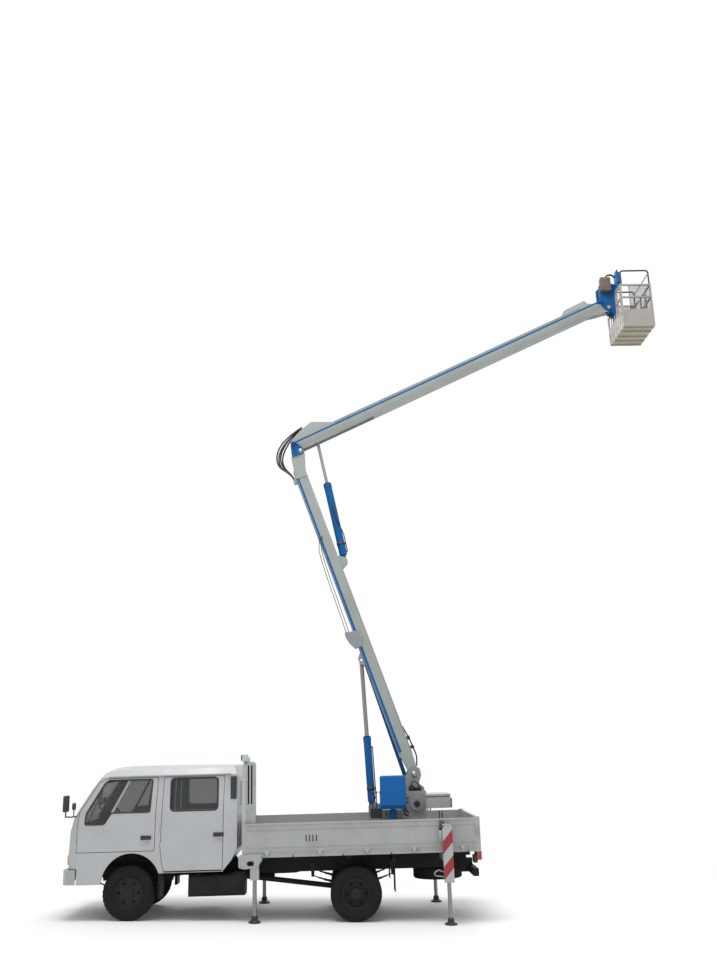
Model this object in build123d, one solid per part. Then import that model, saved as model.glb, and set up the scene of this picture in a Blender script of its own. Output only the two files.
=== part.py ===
"""Double-cab light truck with a slewing two-arm access platform and four jacks.

The truck is drawn in its frame's own axes, in millimetres: x runs rearward from the front axle, y to the
truck's right, and z up from the ground under the front axle. It parks a little nose down, so every piece
is then turned by RAKE about the front axle, and the origin is put on the ground under the slewing centre.
"""
import os
from math import atan2, cos, degrees, hypot, radians, sin

from build123d import *

# ---------------------------------------------------------------- driving dimensions
WHEELBASE = 3308
RAKE = 1.66                      # nose-down lean of the frame, degrees
RUN_GAP = 0.5                    # running clearance at pins, shafts and bearings
SHUT_GAP = 8                     # gap round doors and gates
SEAT_GAP = 0.3                   # between pieces that rest on each other

TYRE_R = 375
TYRE_WIDTH = 180
RIM_R = 205
FRONT_TRACK = 1470
TWIN_OUTER_Y = 830               # middle of the outer rear tyre
TWIN_PITCH = 208                 # outer to inner tyre of a twin

CAB_HALF = 900
CAB_FRONT = -880
CAB_REAR = 1575
CAB_WALL = 45
ROOF_TOP = 2140
EAVE = 1991
BELT = 1490
DOOR_TOP = 1975
FLOOR_FRONT = 950                # top of the floor over the front wheels
FLOOR_REAR = 770                 # top of the rear footwell's floor
GLASS_T = 6

RAIL_TOP = 700
RAIL_DEPTH = 150
RAIL_HALF = 360
RAIL_FLANGE = 60
RAIL_WALL = 7
RAIL_FRONT = -760
RAIL_REAR = 4990

BED_FRONT = 1658
BED_REAR = 5141
BED_HALF = 1000
BED_FLOOR = 905
BED_FLOOR_T = 35
BED_WALL_TOP = 1288
BED_WALL = 34
BED_SILL = 820

SLEW_X = 3830
RING_R = 300
RING_Z = 1200                    # joint face between pedestal and turret

LIFT_PIN = (4270, 1900)          # lower arm's pin on the turret
ELBOW_PIN = (2540, 7260)         # pin between the two arms
UPPER_LEAN = 24.9                # upper arm above the level, degrees
UPPER_LENGTH = 6160              # elbow pin to basket pin
LOWER_DEPTH = 206
LOWER_HALF = 100
UPPER_DEPTH = 224
UPPER_HALF = 86
ARM_WALL = 8
TIE_R = 14
TIE_BAR = 32                     # half the width of the lower tie rod, a flat bar
TIE_Y = 146                      # middle of a tie rod, out from the arms' middle
LOWER_TIE_OFFSET = (-115, -68)   # tie rod's pins from the lower arm's pins
UPPER_TIE_OFFSET = (-137, 125)   # tie rod's pins from the upper arm's pins

LIFT_FOOT = (3600, 1400)         # lower cylinder's pin on the turret
LIFT_EYE = (1954, 190)           # its rod's pin, along and in front of the lower arm's pin line
LIFT_BARREL = 1085
FOLD_FOOT = (3258, 5343)         # upper cylinder's pin on the lower arm
FOLD_EYE = (360, 120)            # its rod's pin, along and above the upper arm's pin line
FOLD_BARREL = 1370
CYL_R = 60
FOLD_CYL_R = 66
ROD_R = 33
FOLD_ROD_R = 27

BASKET_REACH = 123               # basket's near side ahead of its pin
BASKET_LENGTH = 560
BASKET_HALF = 450
BASKET_DROP = 509                # basket's underside below its pin
BASKET_RAIL_H = 805              # rails above the underside
BASKET_MID_H = 540
BASKET_SKIRT_H = 320
BASKET_HANDRAIL_H = 1075

JACKS = {                        # x and |y| of the leg, bottom and top of its casing, upward stroke
    "front": (1842, 950, 520, 868, 240),
    "rear": (4640, 1100, 430, 1215, 400),
}
JACK_R = 30
JACK_CASING = 62                 # half the width of a casing

AXLE = (0, TYRE_R)
SLOPE = radians(RAKE)
REAR_AXLE = (WHEELBASE * cos(SLOPE), TYRE_R - WHEELBASE * sin(SLOPE))
LOWER_RUN = (ELBOW_PIN[0] - LIFT_PIN[0], ELBOW_PIN[1] - LIFT_PIN[1])
LOWER_LENGTH = hypot(*LOWER_RUN)
LOWER_ANGLE = degrees(atan2(LOWER_RUN[1], LOWER_RUN[0]))


# ---------------------------------------------------------------- helpers
def side_frame(origin, angle):
    """A plane seen from the truck's left: local x along the angle, local y square to it, anticlockwise."""
    turn = radians(angle)
    return Plane(origin=(origin[0], 0, origin[1]), x_dir=(cos(turn), 0, sin(turn)), z_dir=(0, -1, 0))


BODY = side_frame((0, 0), 0)
LOWER = side_frame(LIFT_PIN, LOWER_ANGLE)
UPPER = side_frame(ELBOW_PIN, UPPER_LEAN)


def point_on(frame, along, square):
    """The (x, z) of a point given along and square to a side frame."""
    spot = frame.from_local_coords(Vector(along, square, 0))
    return (spot.X, spot.Z)


LIFT_EYE_AT = point_on(LOWER, *LIFT_EYE)
FOLD_EYE_AT = point_on(UPPER, *FOLD_EYE)
BASKET_PIN = point_on(UPPER, UPPER_LENGTH, 0)
BASKET_X = (BASKET_PIN[0] + BASKET_REACH, BASKET_PIN[0] + BASKET_REACH + BASKET_LENGTH)
BASKET_FLOOR = BASKET_PIN[1] - BASKET_DROP
BASKET_RAIL = BASKET_FLOOR + BASKET_RAIL_H
BASKET_HANDRAIL = BASKET_FLOOR + BASKET_HANDRAIL_H


def offset_by(pin, offset):
    return (pin[0] + offset[0], pin[1] + offset[1])


LOWER_TIE_FOOT = offset_by(LIFT_PIN, LOWER_TIE_OFFSET)
LOWER_TIE_HEAD = offset_by(ELBOW_PIN, LOWER_TIE_OFFSET)
UPPER_TIE_FOOT = offset_by(ELBOW_PIN, UPPER_TIE_OFFSET)
UPPER_TIE_HEAD = offset_by(BASKET_PIN, UPPER_TIE_OFFSET)


LEFTWARD = (0, -1, 0)
REARWARD = (1, 0, 0)
UPWARD = (0, 0, 1)


def block(x, y, z):
    """A block from a (low, high) pair on each axis."""
    pairs = [sorted(pair) for pair in (x, y, z)]
    size = [high - low for low, high in pairs]
    middle = [(low + high) / 2 for low, high in pairs]
    return Pos(*middle) * Box(*size)


def outline(points, corner=0):
    face = Polygon(*points, align=None)
    if corner:
        face = fillet(face.vertices(), corner)
    return face


def plate(points, y, corner=0, frame=BODY):
    """A plate cut to an outline seen from the side, from y[0] to y[1]."""
    low, high = sorted(y)
    return extrude(frame.offset(-high) * outline(points, corner), amount=high - low, dir=frame.z_dir)


def block_on(frame, along, square, y):
    """A block given along, square to and across a side frame."""
    corners = [(along[0], square[0]), (along[1], square[0]), (along[1], square[1]), (along[0], square[1])]
    return plate(corners, y, frame=frame)


def section(points, x, corner=0):
    """A bar of constant section, its outline given as (y, z), from x[0] to x[1]."""
    return extrude(Plane.YZ.offset(x[0]) * outline(points, corner), amount=x[1] - x[0], dir=(1, 0, 0))


def cross_pin(at, radius, y):
    """A round pin across the truck at an (x, z)."""
    low, high = sorted(y)
    return Pos(at[0], (low + high) / 2, at[1]) * Rotation(90, 0, 0) * Cylinder(radius, high - low)


def post(x, y, radius, z):
    return Pos(x, y, (z[0] + z[1]) / 2) * Cylinder(radius, z[1] - z[0])


def pipe(start, end, radius):
    """A round bar between two (x, y, z) points."""
    start, end = Vector(*start), Vector(*end)
    run = end - start
    return extrude(Plane(origin=start, z_dir=run) * Circle(radius), amount=run.length)


def bent_pipe(points, radius, bend):
    """A round tube through (x, y, z) points, its corners rounded to the bend radius."""
    path = FilletPolyline(*points, radius=bend)
    return sweep(Plane(origin=path @ 0, z_dir=path % 0) * Circle(radius), path=path)


def both_sides(make):
    """The same piece on the left (side -1) and on the right (side 1)."""
    return make(-1) + make(1)


def set_down(shape):
    """From the frame's axes to the ground: lean the truck, and move the origin under the ring."""
    lean = Location((0, 0, TYRE_R)) * Location((0, 0, 0), (0, -RAKE, 0)) * Location((0, 0, -TYRE_R))
    return Location((-ORIGIN_X, 0, 0)) * lean * shape


# the slewing axis meets the ground here, measured along the ground from the front axle
ORIGIN_X = (SLEW_X + TYRE_R * sin(SLOPE)) / cos(SLOPE)


def ground_under(x):
    """Height of the ground in the frame's axes."""
    return TYRE_R - (TYRE_R + x * sin(SLOPE)) / cos(SLOPE)


# ---------------------------------------------------------------- frame, axles and running gear
CROSS_MEMBERS = (-740, 900, 1700, 2500, 3000, 4250, 4930)
CROSS_DEPTH = 80                 # rail top to the underside of a cross member


def chassis_frame():
    def rail(side):
        web = block((RAIL_FRONT, RAIL_REAR), (side * (RAIL_HALF - RAIL_WALL), side * RAIL_HALF),
                    (RAIL_TOP - RAIL_DEPTH, RAIL_TOP))
        flanges = [block((RAIL_FRONT, RAIL_REAR), (side * (RAIL_HALF - RAIL_FLANGE), side * RAIL_HALF), z)
                   for z in ((RAIL_TOP - RAIL_WALL, RAIL_TOP),
                             (RAIL_TOP - RAIL_DEPTH, RAIL_TOP - RAIL_DEPTH + RAIL_WALL))]
        return web + flanges

    frame = both_sides(rail)
    inner = RAIL_HALF - RAIL_WALL
    for x in CROSS_MEMBERS:
        frame += block((x, x + 50), (-inner, inner), (RAIL_TOP - CROSS_DEPTH, RAIL_TOP - 10))
    # the crane's sub-frame lies on the rails and carries the bed
    sill_x = (BED_FRONT, RAIL_REAR)
    for side in (-1, 1):
        frame += block(sill_x, (side * (RAIL_HALF - 70), side * RAIL_HALF), (RAIL_TOP, BED_SILL))
    for x in (1700, 2450, 3180, 4430, 4930):
        frame += block((x, x + 60), (-880, 880), (BED_SILL - 55, BED_SILL))
    # cab mounts: an outrigger bracket with a cushion under the front floor, cushions on the rails behind
    for side in (-1, 1):
        frame += block((-705, -635), (side * (RAIL_HALF - 20), side * (RAIL_HALF + 90)), (590, 640))
        cushion_y = side * (RAIL_HALF + 50)
        frame += post(-670, cushion_y, 30, (640, FLOOR_FRONT - CAB_WALL - SEAT_GAP))
        for x in (470, 1440):
            frame += post(x, side * (RAIL_HALF - 30), 28, (RAIL_TOP, FLOOR_REAR - CAB_WALL - SEAT_GAP))
    for x, *_ in JACKS.values():
        frame -= block((x - BEAM_HALF, x + BEAM_HALF), (-900, 900), BEAM_Z)
    return frame


ENGINE_X = (-500, 390)
NOSE_REACH = 222                 # rear axle's centre to the end of its nose
SILENCER = (1480, 2060)          # its ends along the truck
SILENCER_R = 82
EXHAUST_Y = 205
EXHAUST_Z = 495
EXHAUST_R = 25


def exhaust():
    """Down pipe, silencer hung from a cross member, and a tail pipe that leaves ahead of the right twins."""
    start, end = SILENCER
    line = [(ENGINE_X[1] - 20, EXHAUST_Y, 560), (ENGINE_X[1] + 150, EXHAUST_Y, 560),
            (start - 250, EXHAUST_Y, EXHAUST_Z), (end + 200, EXHAUST_Y, EXHAUST_Z),
            (end + 330, EXHAUST_Y + 170, EXHAUST_Z - 15), (end + 420, 860, EXHAUST_Z - 40)]
    silencer = Rotation(0, 90, 0) * Cylinder(SILENCER_R, end - start)
    silencer = Pos((start + end) / 2, EXHAUST_Y, EXHAUST_Z) * silencer
    silencer = fillet(silencer.edges().filter_by(GeomType.CIRCLE), 18)
    hanger_top = RAIL_TOP - CROSS_DEPTH - SEAT_GAP
    hanger = post(CROSS_MEMBERS[2] + 25, EXHAUST_Y, 9, (EXHAUST_Z + SILENCER_R - 2, hanger_top))
    return bent_pipe(line, EXHAUST_R, 60) + silencer + hanger


def power_train():
    """Engine as a plain block, gearbox, shaft to the rear axle, and the exhaust."""
    engine = block(ENGINE_X, (-250, 250), (490, 870))
    for x in (-200, 200):
        engine += block((x, x + 60), (-RAIL_HALF + RAIL_WALL, RAIL_HALF - RAIL_WALL), (565, 605))
    gearbox = Pos(ENGINE_X[1] + 170, 0, 590) * Rotation(0, 90, 0) * Cone(118, 70, 340)
    nose = REAR_AXLE[0] - NOSE_REACH - 8
    shaft = pipe((ENGINE_X[1] + 330, 0, 590), (nose, 0, REAR_AXLE[1]), 38)
    return engine + gearbox + shaft + exhaust()


KINGPIN_Y = 640
KINGPIN_R = 17
HUB_R = 24
STUB_REACH = 34                  # stub axle's end beyond the wheel's middle


def front_axle():
    beam = section([(-560, 300), (-470, 250), (470, 250), (560, 300), (560, 372), (450, 322),
                    (-450, 322), (-560, 372)], (-38, 38))
    for side in (-1, 1):
        y = side * KINGPIN_Y
        arm = section([(side * 540, 302), (side * 600, 330), (side * 600, 400),
                       (side * 540, 372)], (-38, 38))
        beam += arm + post(0, y, 44, (330, 420)) - post(0, y, KINGPIN_R + RUN_GAP, (320, 430))
    return beam


def knuckle(side):
    """Kingpin with its fork round the axle's eye, the stub axle and the steering arm."""
    y = side * KINGPIN_Y
    pin = post(0, y, KINGPIN_R, (300, 450))
    jaws = post(0, y, 42, (423, 450)) + post(0, y, 42, (300, 327))
    back = block((-34, 34), (side * (KINGPIN_Y + 46), side * (KINGPIN_Y + 66)), (300, 450))
    for z in ((300, 327), (423, 450)):
        back += block((-34, 34), (y, side * (KINGPIN_Y + 66)), z)
    stub = cross_pin(AXLE, HUB_R, (side * (KINGPIN_Y + 50), side * (FRONT_TRACK / 2 + STUB_REACH)))
    arm = block((20, 190), (side * (KINGPIN_Y - 38), side * (KINGPIN_Y - 14)), (290, 308))
    return pin + jaws + back + stub + arm


def tyre(at, y):
    """One tyre, its section turned about the axle line at an (x, z)."""
    half = TYRE_WIDTH / 2
    wall = half - 6
    profile = Polyline((-wall * 0.72, RIM_R), (-wall, RIM_R + 30), (-half, (RIM_R + TYRE_R) / 2 + 12),
                       (-half * 0.92, TYRE_R - 16), (-half * 0.74, TYRE_R), (half * 0.74, TYRE_R),
                       (half * 0.92, TYRE_R - 16), (half, (RIM_R + TYRE_R) / 2 + 12), (wall, RIM_R + 30),
                       (wall * 0.72, RIM_R), close=True)
    solid = revolve(Plane.XY * make_face(profile), axis=Axis.X)
    return Pos(at[0], y, at[1]) * Rotation(0, 0, 90) * solid


def rim(at, y, side, dish, hub_depth=70):
    """A pressed steel wheel: barrel, dished disc with hand holes, and the hub on its bore."""
    half = TYRE_WIDTH / 2 * 0.62
    outer = RIM_R - 0.3
    barrel = Cylinder(outer, 2 * half) - Cylinder(outer - 9, 2 * half + 2)
    lips = Pos(0, 0, half - 4) * (Cylinder(outer, 8) - Cylinder(outer - 22, 10))
    disc = Pos(0, 0, dish) * Cylinder(outer - 5, 10)
    for turn in range(6):
        disc -= Rotation(0, 0, 60 * turn) * Pos(outer * 0.68, 0, dish) * Cylinder(22, 30)
    hub = Pos(0, 0, dish - hub_depth / 2 + 25) * Cylinder(72, hub_depth)
    bore_end = STUB_REACH + 4
    solid = barrel + lips + disc + hub - Pos(0, 0, bore_end - 100) * Cylinder(HUB_R + RUN_GAP, 200)
    return Pos(at[0], y, at[1]) * Rotation(-90 * side, 0, 0) * solid


def rear_twin_rims(side):
    """Both rims of a twin wheel and the hub that joins them."""
    outer_y = side * TWIN_OUTER_Y
    inner_y = side * (TWIN_OUTER_Y - TWIN_PITCH)
    wheels = rim(REAR_AXLE, outer_y, side, -40) + rim(REAR_AXLE, inner_y, -side, -40)
    hub = cross_pin(REAR_AXLE, 80, (inner_y, outer_y + side * 10))
    bore = cross_pin(REAR_AXLE, HUB_R + 10 + RUN_GAP, (inner_y - side * 90, outer_y + side * 5))
    return wheels + hub - bore


def rear_axle():
    x, z = REAR_AXLE
    tube = cross_pin(REAR_AXLE, 52, (-(TWIN_OUTER_Y - TWIN_PITCH - 60), TWIN_OUTER_Y - TWIN_PITCH - 60))
    bowl = Pos(x, 0, z) * Rotation(0, 90, 0) * Cylinder(165, 150)
    bowl = fillet(bowl.edges().filter_by(GeomType.CIRCLE), 60)
    nose = Pos(x - NOSE_REACH + 76, 0, z) * Rotation(0, 90, 0) * Cone(70, 120, 152)
    stub = cross_pin(REAR_AXLE, HUB_R + 10, (-TWIN_OUTER_Y, TWIN_OUTER_Y))
    return tube + bowl + nose + stub


SPRING_Y = 405


def leaf_spring(eye_front, eye_rear, seat, leaves):
    """A stack of leaves bowed down to the axle's seat, at one side of the truck."""
    (x0, z0), (x1, z1) = eye_front, eye_rear
    middle = (x0 + x1) / 2
    stack = []
    for number in range(leaves):
        reach = 1 - 0.82 * number / leaves
        thick = 9
        low = seat - thick * (number + 1)
        rise = (z0 - seat) * reach ** 2
        ends = ((x0 - middle) * reach, (x1 - middle) * reach)
        top = ThreePointArc((middle + ends[0], low + thick + rise), (middle, low + thick),
                            (middle + ends[1], low + thick + rise))
        bottom = ThreePointArc((middle + ends[1], low + rise), (middle, low), (middle + ends[0], low + rise))
        face = make_face([top, Line(top @ 1, bottom @ 0), bottom, Line(bottom @ 1, top @ 0)])
        stack.append(face)
    return stack


def leaf_springs():
    packs = None
    rows = (   # front eye (x, z), rear eye (x, z), seat z, leaves
        ((-560, 510), (560, 510), 322.3 + 9 * 4 + 12, 4),
        ((REAR_AXLE[0] - 640, 500), (REAR_AXLE[0] + 560, 500), REAR_AXLE[1] + 52.3 + 9 * 6 + 12, 6),
    )
    for eye_front, eye_rear, seat, leaves in rows:
        for side in (-1, 1):
            y = side * SPRING_Y
            pack = None
            for face in leaf_spring(eye_front, eye_rear, seat, leaves):
                leaf = extrude(BODY.offset(-(y + 32)) * face, amount=64)
                pack = leaf if pack is None else pack + leaf
            for x, z in (eye_front, eye_rear):
                pack += cross_pin((x, z), 24, (y - 34, y + 34))
                pack += plate([(x - 22, z), (x + 22, z), (x + 34, RAIL_TOP - 40), (x - 34, RAIL_TOP - 40)],
                              (y - side * 34, side * RAIL_HALF))
            middle = (eye_front[0] + eye_rear[0]) / 2
            pack += block((middle - 45, middle + 45), (y - 36, y + 36), (seat - 9 * leaves - 12, seat + 6))
            packs = pack if packs is None else packs + pack
    return packs


def side_tanks():
    """Fuel tank on the left and battery box on the right, hung from the rails behind the cab's door."""
    tank = fillet(block((870, 1690), (-850, -470), (300, 600)).edges().filter_by(Axis.X), 60)
    for x in (1000, 1500):
        tank += block((x, x + 40), (-855, -RAIL_HALF), (594, 612))
        tank += block((x, x + 40), (-470, -RAIL_HALF), (420, 606))
    box = block((900, 1360), (470, 850), (340, 600))
    for x in (980, 1240):
        box += block((x, x + 40), (RAIL_HALF, 855), (594, 612))
    return tank + box


# ---------------------------------------------------------------- cab
ARCH = (40, 495)                 # middle of the front wheel arch
ARCH_R = 430
CAB_SIDE = [(CAB_FRONT + 8, 730), (-745, 730), (-745, 510), (ARCH[0], 510), (ARCH[0], 642),
            (1368, 642), (1500, 800), (CAB_REAR, 950), (CAB_REAR, 1960), (1520, 2110), (1400, 2122),
            (-110, ROOF_TOP), (-250, 2118), (-400, 2045), (-580, 1803), (-820, 1420), (-868, 1234),
            (CAB_FRONT, 950)]
CAB_FRONT_VIEW = [(-CAB_HALF, 400), (CAB_HALF, 400), (CAB_HALF, BELT), (CAB_HALF - 42, EAVE),
                  (CAB_HALF - 130, 2085), (CAB_HALF - 330, ROOF_TOP - 6), (0, ROOF_TOP + 2),
                  (-CAB_HALF + 330, ROOF_TOP - 6), (-CAB_HALF + 130, 2085), (-CAB_HALF + 42, EAVE),
                  (-CAB_HALF, BELT)]
CAB_PLAN = [(CAB_FRONT - 5, -CAB_HALF + 70), (CAB_FRONT + 150, -CAB_HALF - 1), (CAB_REAR + 5, -CAB_HALF - 1),
            (CAB_REAR + 5, CAB_HALF + 1), (CAB_FRONT + 150, CAB_HALF + 1), (CAB_FRONT - 5, CAB_HALF - 70)]
FRONT_DOOR = [(-761, 950), (372, 950), (380, BELT), (403, DOOR_TOP), (-352, DOOR_TOP), (-468, 1925),
              (-735, 1500), (-761, 1300)]
REAR_DOOR = [(508, 655), (1366, 655), (1374, BELT), (1386, DOOR_TOP), (493, DOOR_TOP), (470, BELT),
             (460, 930)]
FRONT_WINDOW = [(-647, 1334), (-375, 1334), (-272, BELT), (290, BELT), (318, 1945), (-330, 1945),
                (-385, 1900), (-633, 1490)]
REAR_WINDOW = [(597, 1497), (1287, 1497), (1287, 1950), (597, 1950)]
WINDSCREEN = [(-745, 1330), (745, 1330), (690, 1900), (-690, 1900)]
BACK_WINDOW = [(-480, 1520), (480, 1520), (480, 1880), (-480, 1880)]


def grown(points, amount):
    """An outline moved out by an amount, or in if the amount is negative."""
    return offset(Polygon(*points, align=None), amount=amount, kind=Kind.INTERSECTION)


def cab_volume(inset=0):
    side_view = grown(CAB_SIDE, -inset)
    if not inset:
        side_view -= Pos(*ARCH) * Circle(ARCH_R)
    side = extrude(BODY.offset(-CAB_HALF - 10) * side_view, amount=2 * CAB_HALF + 20, dir=LEFTWARD)
    front = extrude(Plane.YZ.offset(CAB_FRONT - 50) * grown(CAB_FRONT_VIEW, -inset), amount=3000,
                    dir=REARWARD)
    above = extrude(Plane.XY.offset(300) * grown(CAB_PLAN, -inset), amount=2000, dir=UPWARD)
    return side & front & above


def cab_skin():
    """The whole hollow cab before its doors and windows are cut."""
    inner = cab_volume(CAB_WALL)
    room = inner & (block((-1000, 480), (-1000, 1000), (FLOOR_FRONT, 2300))
                    + block((440, 1700), (-1000, 1000), (FLOOR_REAR, 2300)))
    sides = (-CAB_HALF + CAB_WALL, CAB_HALF - CAB_WALL)
    under = block((CAB_FRONT + CAB_WALL + 12, 400), sides, (300, FLOOR_FRONT - CAB_WALL))
    under += block((390, CAB_REAR - CAB_WALL), sides, (300, FLOOR_REAR - CAB_WALL))
    return cab_volume() - room - under


DOOR_REACH = 150                 # how far in from the cab's side a door is cut


def door_blank(points, side, gap=0):
    low, high = sorted((side * (CAB_HALF - DOOR_REACH), side * (CAB_HALF + 40)))
    return extrude(BODY.offset(-high) * grown(points, -gap), amount=high - low, dir=LEFTWARD)


def window_cut(points, side, corner, grow=0):
    low, high = sorted((side * (CAB_HALF - DOOR_REACH), side * (CAB_HALF + 40)))
    face = fillet(Polygon(*points, align=None).vertices(), corner)
    if grow:
        face = offset(face, amount=grow)
    return extrude(BODY.offset(-high) * face, amount=high - low, dir=LEFTWARD)


DOOR_ROWS = (   # name, outline, window, corner radius of the window
    ("front", FRONT_DOOR, FRONT_WINDOW, 26),
    ("rear", REAR_DOOR, REAR_WINDOW, 60),
)
HANDLES = {"front": (180, 1118), "rear": (1240, 1135)}
HINGES = {"front": (-757, 888), "rear": (458, 896)}      # x and |y| of each door's hinge line
HINGE_R = 8
HINGE_LOW = (990, 1210)          # bottom of each door's two hinge barrels
HINGE_LENGTH = 70


def hinge_barrels(name, side, gap=0):
    x, y = HINGES[name]
    low, high = [post(x, side * y, HINGE_R + gap, (z - gap, z + HINGE_LENGTH + gap)) for z in HINGE_LOW]
    return low + high


def cab_shell(skin):
    shell = skin
    for side in (-1, 1):
        for name, points, _, _ in DOOR_ROWS:
            shell -= door_blank(points, side, -SHUT_GAP / 2) + hinge_barrels(name, side, 5)
    shell -= section(WINDSCREEN, (CAB_FRONT - 50, CAB_FRONT + 850), 60)
    shell -= section(BACK_WINDOW, (CAB_REAR - 200, CAB_REAR + 200), 60)
    # drip rails over the doors
    for side in (-1, 1):
        shell += block((-330, 1480), (side * (CAB_HALF - 70), side * (CAB_HALF - 18)), (EAVE + 2, EAVE + 14))
    for spot in HEAD_LAMPS:
        for side in (-1, 1):
            shell -= head_lamp(spot, side, 0.3)
    return shell


def door(skin, name, points, window, corner, side):
    leaf = skin & door_blank(points, side, SHUT_GAP / 2)
    leaf -= window_cut(window, side, corner)
    x, z = HANDLES[name]
    y = side * CAB_HALF
    grip = block((x, x + 130), (y + side * 22, y + side * 34), (z, z + 28))
    for end in (x, x + 112):
        grip += block((end, end + 18), (y - side * 6, y + side * 30), (z, z + 28))
    hinge_x, hinge_y = HINGES[name]
    for low in HINGE_LOW:
        tongue_y = (side * (hinge_y - 7), side * (hinge_y - 1))
        grip += block((hinge_x, hinge_x + 30), tongue_y, (low, low + HINGE_LENGTH))
    return leaf + grip + hinge_barrels(name, side)


def door_glass(skin, window, corner, side):
    """A pane in the middle of the door's thickness, held by the window's edge all round."""
    pane = (cab_volume(CAB_WALL / 2 - GLASS_T / 2) - cab_volume(CAB_WALL / 2 + GLASS_T / 2))
    return pane & window_cut(window, side, corner, grow=-0.3)


def cab_glass():
    outer = cab_volume(CAB_WALL / 2 - GLASS_T / 2) - cab_volume(CAB_WALL / 2 + GLASS_T / 2)
    front_pane = offset(outline(WINDSCREEN, 60), amount=-SEAT_GAP)
    back_pane = offset(outline(BACK_WINDOW, 60), amount=-SEAT_GAP)
    front = extrude(Plane.YZ.offset(CAB_FRONT - 50) * front_pane, amount=900, dir=REARWARD)
    back = extrude(Plane.YZ.offset(CAB_REAR - 200) * back_pane, amount=400, dir=REARWARD)
    return (outer & front) + (outer & back)


SEAT_FRONT_X = -170
SEAT_REAR_X = 960


def cab_seats():
    seats = None
    for x, floor, low_z in ((SEAT_FRONT_X, FLOOR_FRONT, 1130), (SEAT_REAR_X, FLOOR_REAR, 1050)):
        back = plate([(x + 350, low_z + 60), (x + 450, low_z + 60), (x + 520, low_z + 600),
                      (x + 430, low_z + 620)], (-720, 720), 30)
        cushion = fillet(block((x - 60, x + 440), (-720, 720), (low_z, low_z + 130)).edges(), 30)
        plinth = block((x + 20, x + 420), (-640, 640), (floor, low_z + 1))
        piece = back + cushion + plinth
        seats = piece if seats is None else seats + piece
    return seats


STEER_WHEEL_Y = 380


def cab_interior():
    """Dashboard, steering column and steering wheel; the truck is driven from the right."""
    dash = plate([(-800, FLOOR_FRONT), (-690, FLOOR_FRONT), (-640, 1150), (-560, 1270), (-600, 1320),
                  (-790, 1320)], (-790, 790), 12) & cab_volume(CAB_WALL + 0.3)
    column = pipe((-640, STEER_WHEEL_Y, 1180), (-400, STEER_WHEEL_Y, 1352), 26)
    rim_plane = Plane(origin=(-400, STEER_WHEEL_Y, 1352), z_dir=(240, 0, 172))
    wheel = rim_plane.location * Torus(195, 14)
    spokes = rim_plane.location * (Box(380, 34, 10) + Cylinder(48, 26))
    return dash + (column + wheel + spokes)


def front_bumper():
    shape = extrude(Plane.XY.offset(515) * outline([(-955, -790), (-900, -890), (-760, -905), (-760, -885),
                                                    (-885, -860), (-905, 0), (-885, 860), (-760, 885),
                                                    (-760, 905), (-900, 890), (-955, 790)]), amount=205)
    for side in (-1, 1):
        shape += block((-910, RAIL_FRONT), (side * (RAIL_HALF - 20), side * RAIL_HALF), (570, 660))
    return shape


HEAD_LAMPS = ((520, 760), (775, 825))     # y of each pair of front lamps
HEAD_LAMP_Z = (790, 915)


def head_lamp(y, side, gap=0):
    """A lamp unit let into the front panel."""
    return block((CAB_FRONT - 16, CAB_FRONT + 24 + gap), (side * (y[0] - gap), side * (y[1] + gap)),
                 (HEAD_LAMP_Z[0] - gap, HEAD_LAMP_Z[1] + gap))


def lamps():
    """Head lamps and turn lamps in the front panel, tail lamps on the bed's rear corners."""
    bodies = None
    for side in (-1, 1):
        for spot in HEAD_LAMPS:
            lamp = head_lamp(spot, side)
            bodies = lamp if bodies is None else bodies + lamp
        tail = block((BED_REAR - 60, BED_REAR + 12), (side * 640, side * 940), (700, BED_SILL))
        bodies += tail
    return bodies


def mirrors():
    bodies = None
    for side in (-1, 1):
        bends = [(-788, side * 850, 1455), (-812, side * 1010, 1455), (-895, side * 1060, 1460)]
        arm = bent_pipe(bends, 10, 40)
        stem = pipe((-895, side * 1060, 1452), (-895, side * 1060, 1560), 10)
        head = block((-918, -874), (side * 960, side * 1150), (1530, 1755))
        head = fillet(head.edges().filter_by(Axis.X), 24)
        round_stem = pipe((-800, side * 975, 1450), (-800, side * 975, 1570), 8)
        round_head = Pos(-800, side * 975, 1600) * Rotation(0, 90, 0) * Cylinder(50, 36)
        piece = arm + stem + head + round_stem + round_head
        bodies = piece if bodies is None else bodies + piece
    return bodies - cab_volume()


# ---------------------------------------------------------------- bed, boom rest, guards
DECK_SHEET = (4290, BED_REAR - 80)           # tread sheet on the floor behind the pedestal
DECK_SHEET_T = 4
GATE_PIN = (BED_REAR - 12, BED_FLOOR - 8)
GATE_PIN_R = 6
GATE_LUG_R = 11
GATE_BOTTOM = BED_FLOOR + 9      # underside of the closed tailgate
GATE_HINGES = (350, 750)         # y of the tailgate's hinges on each side


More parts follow.
